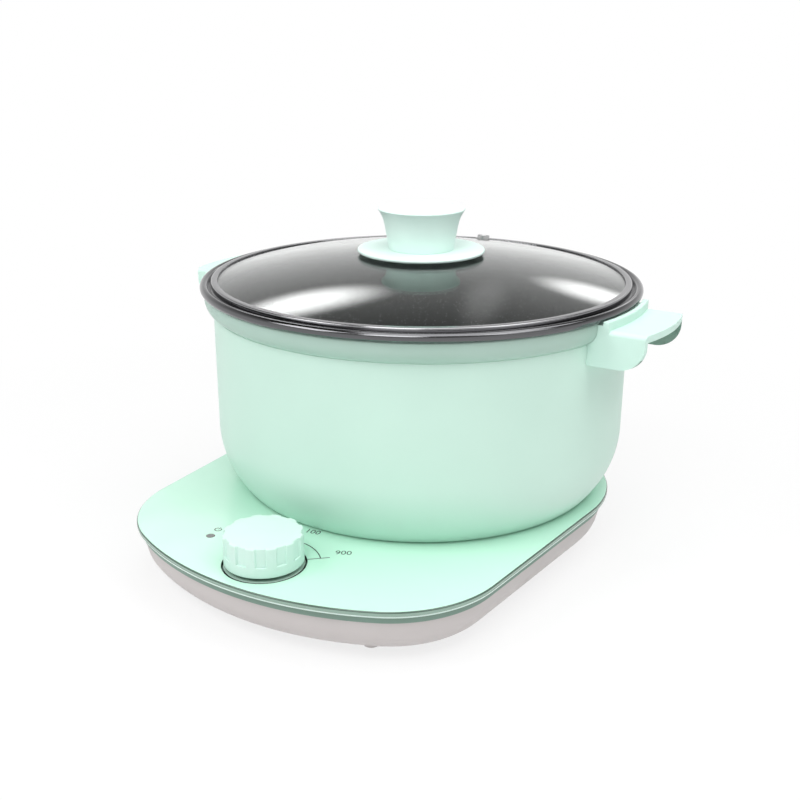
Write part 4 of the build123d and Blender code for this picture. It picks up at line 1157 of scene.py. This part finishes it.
@dataclass
class Pot:
    """The pot: a coated body with a collar, a lining and two handles."""

    finishes: Finishes
    wall_radius: float = 134.1 * MM
    belly_radius: float = 134.0 * MM
    belly_height: float = 40.0 * MM
    foot_radius: float = 118.4 * MM
    wall: float = 2.8 * MM
    floor: float = 4.6 * MM
    floor_corner: float = 8.0 * MM
    collar_height: float = 12.8 * MM
    collar_face: float = 4.3 * MM
    rim_rounding: float = 0.9 * MM
    disc_radius: float = 104.1 * MM
    disc_recess: float = 1.6 * MM
    crease: float = 0.35 * MM
    undercut: float = 2.2 * MM
    undercut_height: float = 1.0 * MM
    handle_rounding: float = 0.6 * MM
    # How far under the handle's top the painted shade starts.
    shade_drop: float = 5.0 * MM
    facing: float = 0.3             # share of a normal that makes a face look that way
    lining_edge: float = 0.1 * MM   # over the recess of the disc, which has no lining

    def __post_init__(self) -> None:
        """Read the places from the frame."""
        low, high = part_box("pot_body")
        self.foot_z, self.rim_z = low.z, high.z
        self.axis = axis_of("pot_body")
        self.collar_radius = radius_of("pot_body")
        self.inner_radius = self.wall_radius - self.wall

    def build(self) -> None:
        """Build and dress the pot."""
        self.body()
        self.handle("right")
        self.handle("left")
        paint_nodes({self.finishes.bare_steel: ["base_disc", "handle_studs", "handle_screws"]})

    def handle(self, side: str) -> None:
        """Handle with soft edges, and painted shade: a darker copy of its plastic under its grip and between
        its cheeks.

        Args:
            side: right or left.
        """
        node = f"{side}_handle"
        handle = Bench.softened(node, f"{side}_grip", self.handle_rounding)
        Bench.dress(handle, self.finishes.handle_plastic, self.finishes.handle_shade)
        middle_y = axis_of(node)[1]
        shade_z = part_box(node)[1].z - self.shade_drop

        def in_shade(middle: Vector, normal: Vector) -> bool:
            """Tell whether a face takes the painted shade.

            Args:
                middle: Middle of the face.
                normal: Its normal.

            Returns:
                True where it looks down, or across the finger space, below the grip.
            """
            if middle.z >= shade_z or abs(middle.x - self.axis[0]) <= self.collar_radius:
                return False
            off = middle.y - middle_y
            return normal.z < -STEEP_FACE or normal.y * off < -self.facing * abs(off)

        # Faces under the grip and between the cheeks take a darker copy of the plastic, as painted shade.
        Bench.assign(handle, self.finishes.handle_shade, in_shade)
        install(handle, "pot", "handle_plastic", node)

    def profile(self) -> list[Point]:
        """Lay out the section of the body.

        Returns:
            Radius and height of each point, from under the middle round the outside to the inside.
        """
        z = self.foot_z
        rise = self.belly_height
        belly = (rise**2 + (self.belly_radius - self.foot_radius) ** 2) / (
            2 * (self.belly_radius - self.foot_radius))
        belly_centre = (self.belly_radius - belly, z + rise)
        foot_angle = -degrees(asin((rise - self.undercut_height) / belly))
        foot_start = belly_centre[0] + belly * cos(radians(foot_angle))
        crease_z = self.rim_z - self.collar_height
        flare_top = self.rim_z - self.collar_face
        step = self.collar_radius - self.wall_radius
        flare = ((flare_top - crease_z) ** 2 + step**2) / (2 * step)
        flare_angle = -degrees(asin((flare_top - crease_z) / flare))
        rim = self.rim_rounding
        inner_belly = belly - self.wall
        floor_z = z + self.floor
        corner_z = floor_z + self.floor_corner
        corner_x = belly_centre[0] + sqrt((inner_belly - self.floor_corner) ** 2 - (z + rise - corner_z) ** 2)
        corner_angle = degrees(atan2(corner_z - z - rise, corner_x - belly_centre[0]))
        return (
            [(0.0, z + self.disc_recess), (self.disc_radius, z + self.disc_recess), (self.disc_radius, z),
             (foot_start - self.undercut, z), (foot_start - self.undercut, z + self.undercut_height)]
            + arc(belly_centre, belly, foot_angle, 0.0, steps=22)
            + [(self.wall_radius, crease_z - 2 * self.crease),
               (self.wall_radius - self.crease, crease_z - self.crease), (self.wall_radius, crease_z)]
            + arc((self.collar_radius - flare, flare_top), flare, flare_angle, 0.0, steps=10)[1:]
            + arc((self.collar_radius - rim, self.rim_z - rim), rim, 0.0, 90.0, steps=5)
            + arc((self.inner_radius + rim, self.rim_z - rim), rim, 90.0, 180.0, steps=5)
            + [(self.belly_radius - self.wall, z + rise)]
            + arc(belly_centre, inner_belly, 0.0, corner_angle, steps=14)[1:]
            + arc((corner_x, corner_z), self.floor_corner, corner_angle, -90.0, steps=8)[1:]
            + [(0.0, floor_z)])

    def body(self) -> None:
        """Pot body, mint outside with a darker collar painted as shade under the lid's ring, and lined dark
        inside.
        """
        body = Bench.turned("pot_wall", self.profile(), self.axis)
        finish = self.finishes
        Bench.dress(body, finish.pot_coat, finish.lining, finish.collar_shade)
        x, y = self.axis
        inside = self.wall_radius - self.wall / 2
        low = self.foot_z + self.disc_recess + self.lining_edge
        crease_z = self.rim_z - self.collar_height
        Bench.assign(body, finish.lining, lambda middle, normal: (
            reach_from(self.axis, middle) < inside and middle.z > low
            and (normal.z > self.facing or normal.x * (middle.x - x) + normal.y * (middle.y - y) < 0)))
        # The collar takes the darker copy of the coat, as painted shade under the lid's ring.
        Bench.assign(body, finish.collar_shade, lambda middle, normal: (
            middle.z > crease_z and reach_from(self.axis, middle) > self.wall_radius - self.crease))
        install(body, "pot", "pot_coat", "pot_body")


# ------------------------------------------------------------------------- lid


@dataclass
class Lid:
    """The lid: domed glass in a rolled steel ring, with a saucer, a knob and a steam vent."""

    finishes: Finishes
    bead: float = 2.7 * MM
    bead_end: float = 160.0         # degrees in the section, where 0 is outwards and 90 up
    gauge: float = 0.9 * MM
    bead_margin: float = 0.05 * MM  # outside the channel, where the darker copy of the steel starts
    seat_radius: float = 134.0 * MM
    lip_radius: float = 130.8 * MM
    skirt_radius: float = 130.5 * MM
    channel_floor: float = 1.08 * MM    # over the pot's rim
    cove_drop: float = 0.4 * MM
    cove_depth: float = 0.6 * MM
    glass_radius: float = 133.5 * MM
    glass_thickness: float = 4.0 * MM
    glass_rise: float = 16.0 * MM
    glass_edge: float = 0.4 * MM
    glass_steps: int = 44
    hole: float = 3.0 * MM
    vent: Point = (-13.0 * MM, 111.0 * MM)
    vent_flange: float = 5.4 * MM
    vent_tube: float = 3.2 * MM
    vent_bore: float = 2.2 * MM
    vent_height: float = 0.8 * MM
    vent_neck: Point = (4.4 * MM, 3.0 * MM)     # radius, and height over the glass
    vent_rounding: float = 0.6 * MM
    vent_steps: int = 64
    vent_hole_steps: int = 48
    seat_gap: float = 0.1 * MM
    saucer_foot: float = 17.0 * MM
    saucer_floor: float = 27.0 * MM
    saucer_edge: float = 1.1 * MM
    saucer_rim: float = 3.0 * MM
    saucer_crown: float = 0.15 * MM
    saucer_fall: Point = (1.5 * MM, 0.05 * MM)  # first point inside the rim: across and down
    knob_foot: float = 21.0 * MM
    knob_waist: Point = (23.6 * MM, 15.0 * MM)  # radius, and height over the foot
    knob_edge: float = 0.9 * MM
    knob_soft: float = 0.4 * MM
    knob_tuck: float = 0.02 * MM    # the flare ends this far inside the rim
    knob_rim: float = 3.2 * MM
    knob_dish: float = 1.4 * MM
    # In from the rim and down from the top, where the dish turns flat.
    knob_dish_points: tuple[Point, ...] = (
        (0.5 * MM, 0.72 * MM), (1.1 * MM, 0.86 * MM), (3.0 * MM, 0.94 * MM))
    knob_wall: float = 4.0 * MM
    knob_top_wall: float = 3.0 * MM
    knob_post: float = 7.5 * MM
    insert_radius: float = 4.4 * MM
    steps: int = 256

    def __post_init__(self) -> None:
        """Read the places from the frame."""
        low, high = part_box("lid_ring")
        self.axis = axis_of("lid_ring")
        self.radius = radius_of("lid_ring")
        self.skirt_foot_z, self.lip_z = low.z, high.z
        self.rim_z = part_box("pot_body")[1].z
        self.dome_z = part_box("lid_gasket")[0].z
        self.sphere = (self.glass_radius**2 + self.glass_rise**2) / (2 * self.glass_rise)

    def build(self) -> None:
        """Build and dress the lid."""
        self.ring()
        self.glass()
        self.steam_vent()
        self.saucer()
        self.knob()
        finish = self.finishes
        paint_nodes({
            finish.silicone: ["lid_gasket", "lid_washer"],
            finish.brass: ["knob_insert"],
            finish.bare_steel: ["lid_screw"],
        })

    def dome(self, radius: float, below: float = 0.0) -> float:
        """Height of the glass at a radius, on its top or at a depth in it."""
        return self.dome_z - self.sphere + sqrt((self.sphere - below) ** 2 - radius**2)

    def ring(self) -> None:
        """Rolled ring: a skirt in the pot, a channel with a lip over the glass, a cove and a bead."""
        bead_x, bead_z = self.radius - self.bead, self.rim_z + self.bead
        wall_x = self.seat_radius + self.gauge
        end = radians(self.bead_end)
        bead_end = (bead_x + self.bead * cos(end), bead_z + self.bead * sin(end))
        cove_foot = (wall_x, bead_end[1] - self.cove_drop)
        cove_middle = ((bead_end[0] + wall_x) / 2, cove_foot[1] - self.cove_depth)
        floor_z = self.rim_z + self.channel_floor
        under_z = self.lip_z - self.gauge
        soft = self.gauge / 3
        inside = self.skirt_radius - self.gauge
        profile = (
            [(inside, floor_z), (inside, self.skirt_foot_z), (self.skirt_radius, self.skirt_foot_z),
             (self.skirt_radius, self.rim_z)]
            + arc((bead_x, bead_z), self.bead, -90.0, self.bead_end, steps=26)
            + [cove_middle, cove_foot]
            + arc((wall_x - self.gauge, under_z), self.gauge, 0.0, 90.0, steps=6)
            + arc((self.lip_radius + soft, self.lip_z - soft), soft, 90.0, 180.0, steps=4)
            + [(self.lip_radius, under_z), (self.seat_radius, under_z), (self.seat_radius, floor_z),
               (inside, floor_z)])
        ring = Bench.turned("rolled_ring", profile, self.axis, self.steps)
        # The lip and cove take the lighter copy of the steel as a painted highlight, and the bead takes the
        # darker copy as a painted dark reflection.
        Bench.dress(ring, self.finishes.ring_steel, self.finishes.bead_steel_shaded)
        bead_start = wall_x + self.bead_margin
        Bench.assign(ring, self.finishes.bead_steel_shaded, lambda middle, normal: (
            reach_from(self.axis, middle) > bead_start))
        install(ring, "lid", "ring_steel", "lid_ring")

    def glass(self) -> None:
        """Domed glass with ground edges, a hole for the screw and one for the vent."""
        soft, edge, steps = self.glass_edge, self.glass_radius, self.glass_steps
        radii = [self.hole + (edge - soft - self.hole) * i / steps for i in range(steps + 1)]
        top = [(r, self.dome(r)) for r in radii]
        under = [(r, self.dome(r, self.glass_thickness)) for r in reversed(radii)]
        profile = top + [(edge, top[-1][1] - soft), (edge, under[0][1] + soft)] + under + [top[0]]
        glass = Bench.turned("domed_glass", profile, self.axis, self.steps)
        # The tool stands out of the glass at both ends.
        tool = Bench.disc("vent_hole", self.vent_tube + self.seat_gap, -3 * self.glass_thickness,
                          self.glass_thickness, (0.0, 0.0), self.vent_hole_steps)
        self.stand_on_dome(tool)
        Bench.cut(glass, tool)
        Bench.close(glass)
        Bench.dress(glass, self.finishes.lid_glass)
        install(glass, "lid", "lid_glass", "lid_glass")

    def stand_on_dome(self, piece: bpy.types.Object) -> None:
        """Move a piece from the origin to the vent's place, square to the glass.

        Args:
            piece: The piece, upright, with the top of the glass at height 0.
        """
        x, y = self.vent
        reach = hypot(x, y)
        normal = Vector((x, y, sqrt(self.sphere**2 - reach**2)))
        Bench.pick(piece)
        piece.location = (self.axis[0] + x, self.axis[1] + y, self.dome(reach))
        piece.rotation_euler = normal.to_track_quat("Z", "Y").to_euler()
        bpy.ops.object.transform_apply(location=True, rotation=True, scale=True)

    def steam_vent(self) -> None:
        """Riveted steel eyelet: a tube through the glass, a flange on each side and a raised neck."""
        up, down = self.seat_gap, -self.glass_thickness - self.seat_gap
        tall, soft = self.vent_height, self.vent_rounding
        bore, flange = self.vent_bore, self.vent_flange
        neck, top = self.vent_neck
        profile = (
            [(bore, down - tall), (flange, down - tall), (flange, down), (self.vent_tube, down),
             (self.vent_tube, up), (flange, up), (flange, up + tall), (neck, up + tall)]
            + arc((neck - soft, up + top - soft), soft, 0.0, 90.0, steps=5)
            + arc((bore + soft, up + top - soft), soft, 90.0, 180.0, steps=5)
            + [(bore, down - tall)])
        vent = Bench.turned("vent_eyelet", profile, (0.0, 0.0), self.vent_steps)
        self.stand_on_dome(vent)
        Bench.close(vent)
        Bench.dress(vent, self.finishes.bare_steel)
        install(vent, "lid", "vent_steel", "steam_vent")

    def saucer(self) -> None:
        """Shallow saucer between the glass and the knob, with a rolled rim."""
        low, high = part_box("lid_saucer")
        foot_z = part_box("lid_gasket")[1].z
        floor_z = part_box("lid_knob")[0].z
        edge = self.saucer_edge
        outside = radius_of("lid_saucer") - edge
        rim_in = outside - self.saucer_rim
        crown_z = low.z + 2 * edge + self.saucer_crown
        across, down = self.saucer_fall
        profile = (
            [(self.hole, floor_z), (self.hole, foot_z), (self.saucer_foot, foot_z)]
            + arc((outside, low.z + edge), edge, -90.0, 90.0, steps=12)
            + [(outside - self.saucer_rim / 2, crown_z), (rim_in, high.z), (rim_in - across, high.z - down),
               (self.saucer_floor, floor_z), (self.hole, floor_z)])
        saucer = Bench.turned("saucer", profile, self.axis, self.steps)
        Bench.dress(saucer, self.finishes.knob_plastic)
        install(saucer, "lid", "knob_plastic", "lid_saucer")

    def knob(self) -> None:
        """Flared knob with a dished top, hollow below round the post that takes the screw."""
        low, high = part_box("lid_knob")
        foot, top = low.z, high.z
        reach = radius_of("lid_knob")
        waist = (self.knob_waist[0], foot + self.knob_waist[1])
        lean = (self.knob_waist[0] - self.knob_foot, self.knob_waist[1])
        edge, soft = self.knob_edge, self.knob_soft
        rim_in = reach - self.knob_rim
        hollow = self.knob_foot - self.knob_wall
        hollow_top = top - self.knob_dish - self.knob_top_wall
        insert_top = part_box("knob_insert")[1].z
        profile = (
            [(0.0, insert_top), (self.insert_radius, insert_top), (self.insert_radius, foot),
             (self.knob_post, foot), (self.knob_post, hollow_top), (hollow, hollow_top), (hollow, foot),
             (self.knob_foot - soft, foot), (self.knob_foot, foot + soft)]
            + tangent_arc(waist, lean, (reach - self.knob_tuck, top - edge), steps=14)
            + arc((reach - edge, top - edge), edge, 0.0, 90.0, steps=7)[1:]
            + arc((rim_in + soft, top - soft), soft, 90.0, 135.0, steps=3)
            + [(rim_in - across, top - down) for across, down in self.knob_dish_points]
            + [(0.0, top - self.knob_dish)])
        knob = Bench.turned("flared_knob", profile, self.axis, self.steps)
        Bench.dress(knob, self.finishes.knob_plastic)
        install(knob, "lid", "knob_plastic", "lid_knob")


# ------------------------------------------------------------------------- studio


@dataclass(frozen=True)
class Glow:
    """A soft bright patch of the surroundings that gloss and glass mirror, with angles in degrees.

    It is at full strength inside its core and has faded out at its fringe, which are both
    given in half widths.
    """

    azimuth: float
    height: float
    half_width: float
    half_height: float
    strength: float
    core: float = 0.3
    fringe: float = 1.6

    def level(self, tree: bpy.types.NodeTree, place: Socket) -> Socket:
        """Brightness of the patch.

        Args:
            tree: The world's tree.
            place: Direction of the ray.

        Returns:
            The brightness, 0 outside the patch.
        """
        turn, lift = radians(self.azimuth), radians(self.height)
        out = Vector((cos(turn) * cos(lift), sin(turn) * cos(lift), sin(lift)))
        side = Vector((-sin(turn), cos(turn), 0.0))
        up = out.cross(side)

        def along(axis: Vector, half: float) -> Socket:
            """Distance of the ray from the patch's middle along one axis, in half widths."""
            return add_node(tree, "ShaderNodeVectorMath", {
                0: place, 1: axis / sin(radians(half))}, operation="DOT_PRODUCT").outputs["Value"]

        offset = add_node(tree, "ShaderNodeCombineXYZ", {
            "X": along(side, self.half_width), "Y": along(up, self.half_height)})
        reach = add_node(tree, "ShaderNodeVectorMath", {0: offset.outputs["Vector"]}, operation="LENGTH")
        soft = add_node(tree, "ShaderNodeMapRange", {
            "Value": reach.outputs["Value"], "From Min": self.core, "From Max": self.fringe,
            "To Min": self.strength, "To Max": 0.0}, interpolation_type="SMOOTHSTEP")
        ahead = add_node(tree, "ShaderNodeMath", {0: along(out, 90.0), 1: 0.0}, operation="GREATER_THAN")
        level = add_node(tree, "ShaderNodeMath", {0: soft.outputs["Result"], 1: ahead.outputs[0]},
                         operation="MULTIPLY")
        return level.outputs[0]


@dataclass(frozen=True)
class Softbox:
    """A square soft lamp that hangs at a place and faces a point, with its power in watts."""

    name: str
    place: Place
    aim: Place
    side: float
    power: float

    def hang(self) -> None:
        """Add the lamp."""
        Bench.clear()
        bpy.ops.object.light_add(type="AREA", location=self.place)
        lamp = bpy.context.object
        lamp.name = self.name
        lamp.data.size = self.side
        lamp.data.energy = self.power
        lamp.rotation_euler = (Vector(self.aim) - Vector(self.place)).to_track_quat("-Z", "Y").to_euler()


@dataclass
class Studio:
    """White table, white surroundings with soft bright patches, soft lamps and the camera.

    Lengths are in metres, but the lens and the sensor in millimetres. Turns are in degrees.
    """

    camera_place: Place = (0.3521, -0.5613, 0.3248)
    camera_turn: float = 31.92
    camera_dip: float = 19.26
    camera_roll: float = 0.23
    lens: float = 48.37
    sensor: float = 36.0
    sight: float = 50.0
    table_size: float = 8.0
    shadow_fade: Point = (0.15, 0.55)   # distances between which the shadow fades out
    clean_share: Point = (0.8, 1.0)     # share of plain white that the table shows there
    wall_fade: Point = (0.1, 0.75)      # heights on the unit sphere between which walls turn to ceiling
    ceiling: float = 0.1                # brightness of the ceiling, where the walls have 1
    fill: float = 0.42                  # share of the surroundings' light that falls on the object
    glows: tuple[Glow, ...] = (
        Glow(azimuth=134.5, height=30.3, half_width=6.5, half_height=3.4, strength=4.2),
        Glow(azimuth=104.0, height=20.5, half_width=4.2, half_height=3.2, strength=2.6),
        Glow(azimuth=113.5, height=33.0, half_width=1.8, half_height=7.0, strength=0.3),
    )
    lamps: tuple[Softbox, ...] = (
        Softbox("overhead", place=(0.35, 0.1, 1.5), aim=(0.1, 0.0, 0.0), side=1.6, power=20.0),
        Softbox("front_left", place=(-0.75, -1.0, 1.3), aim=(0.0, 0.0, 0.1), side=0.8, power=10.0),
        Softbox("front", place=(0.3, -1.1, 1.4), aim=(0.0, 0.0, 0.1), side=0.7, power=9.0),
        Softbox("right", place=(1.1, -0.05, 1.1), aim=(0.1, 0.0, 0.1), side=0.7, power=3.0),
    )

    def build(self) -> None:
        """Set up the table, the world, the lamps and the camera."""
        self.table()
        self.world()
        for lamp in self.lamps:
            lamp.hang()
        self.camera()
        bpy.context.scene.view_settings.view_transform = "Standard"

    def table(self) -> None:
        """Matt white table that the camera sees almost as pure white."""
        Bench.clear()
        bpy.ops.mesh.primitive_plane_add(size=self.table_size)
        table = bpy.context.object
        table.name = "table"
        material, tree, place = new_material("white_table")
        matt = add_node(tree, "ShaderNodeBsdfDiffuse", {"Color": linear("#F2F2F2")})
        glow = add_node(tree, "ShaderNodeEmission", {"Color": (1.0, 1.0, 1.0, 1.0), "Strength": 1.0})
        path = add_node(tree, "ShaderNodeLightPath")
        seen = self.seen(tree, path)
        # The shadow shows near the object and has faded out before the table ends.
        (near, far), (least, most) = self.shadow_fade, self.clean_share
        reach = add_node(tree, "ShaderNodeVectorMath", {0: place}, operation="LENGTH")
        clean = add_node(tree, "ShaderNodeMapRange", {
            "Value": reach.outputs["Value"], "From Min": near, "From Max": far,
            "To Min": least, "To Max": most})
        share = add_node(tree, "ShaderNodeMath", {0: seen, 1: clean.outputs["Result"]}, operation="MULTIPLY")
        mix = add_node(tree, "ShaderNodeMixShader", {
            0: share.outputs[0], 1: matt.outputs["BSDF"], 2: glow.outputs["Emission"]})
        finish_material(tree, mix.outputs["Shader"])
        table.data.materials.append(material)

    @staticmethod
    def seen(tree: bpy.types.NodeTree, path: bpy.types.Node) -> Socket:
        """Pick the rays that show the surroundings: the camera's, and those off gloss or through glass.

        Args:
            tree: Tree of the table's material or of the world.
            path: Its Light Path node.

        Returns:
            1 for such a ray, 0 for any other.
        """
        either = add_node(tree, "ShaderNodeMath", {
            0: path.outputs["Is Camera Ray"], 1: path.outputs["Is Glossy Ray"]}, operation="MAXIMUM")
        any_of = add_node(tree, "ShaderNodeMath", {
            0: either.outputs[0], 1: path.outputs["Is Transmission Ray"]}, operation="MAXIMUM")
        return any_of.outputs[0]

    def world(self) -> None:
        """White surroundings near the horizon, a greyer ceiling and the bright patches."""
        world = bpy.data.worlds.new("studio_walls")
        bpy.context.scene.world = world
        world.use_nodes = True
        tree = world.node_tree
        tree.nodes.clear()
        place = add_node(tree, "ShaderNodeTexCoord").outputs["Generated"]
        height = add_node(tree, "ShaderNodeSeparateXYZ", {"Vector": place}).outputs["Z"]
        low, high = self.wall_fade
        fade = add_node(tree, "ShaderNodeMapRange", {
            "Value": height, "From Min": low, "From Max": high, "To Min": 1.0, "To Max": self.ceiling})
        path = add_node(tree, "ShaderNodeLightPath")
        level = fade.outputs["Result"]
        for glow in self.glows:
            patch = add_node(tree, "ShaderNodeMath", {
                0: glow.level(tree, place), 1: path.outputs["Is Glossy Ray"]}, operation="MULTIPLY")
            level = add_node(tree, "ShaderNodeMath", {0: level, 1: patch.outputs[0]}).outputs[0]
        colour = add_node(tree, "ShaderNodeCombineColor", {"Red": level, "Green": level, "Blue": level})
        strength = add_node(tree, "ShaderNodeMapRange", {
            "Value": self.seen(tree, path), "To Min": self.fill, "To Max": 1.0})
        light = add_node(tree, "ShaderNodeBackground", {
            "Color": colour.outputs["Color"], "Strength": strength.outputs["Result"]})
        add_node(tree, "ShaderNodeOutputWorld", {"Surface": light.outputs["Background"]})

    def camera(self) -> None:
        """Stand the camera in front and to the right, looking down on the lid."""
        turn, dip, roll = (radians(a) for a in (self.camera_turn, self.camera_dip, self.camera_roll))
        forward = Vector((-sin(turn) * cos(dip), cos(turn) * cos(dip), -sin(dip)))
        right = Vector((cos(turn), sin(turn), 0.0))
        up = right.cross(forward)
        right, up = right * cos(roll) + up * sin(roll), up * cos(roll) - right * sin(roll)
        Bench.clear()
        bpy.ops.object.camera_add()
        camera = bpy.context.object
        camera.matrix_world = Matrix.Translation(self.camera_place) @ Matrix(
            (right, up, -forward)).transposed().to_4x4()
        camera.data.sensor_width = self.sensor
        camera.data.lens = self.lens
        camera.data.clip_end = self.sight
        bpy.context.scene.camera = camera


def main() -> None:
    """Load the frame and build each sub-assembly in turn."""
    logging.basicConfig(level=logging.INFO, format="%(name)s: %(message)s")
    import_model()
    finishes = Finishes()
    for part in (Base(finishes), Marks(finishes), Dial(finishes), Pot(finishes), Lid(finishes), Studio()):
        part.build()
        log.info("%s is ready", type(part).__name__)


if __name__ == "__main__":
    main()
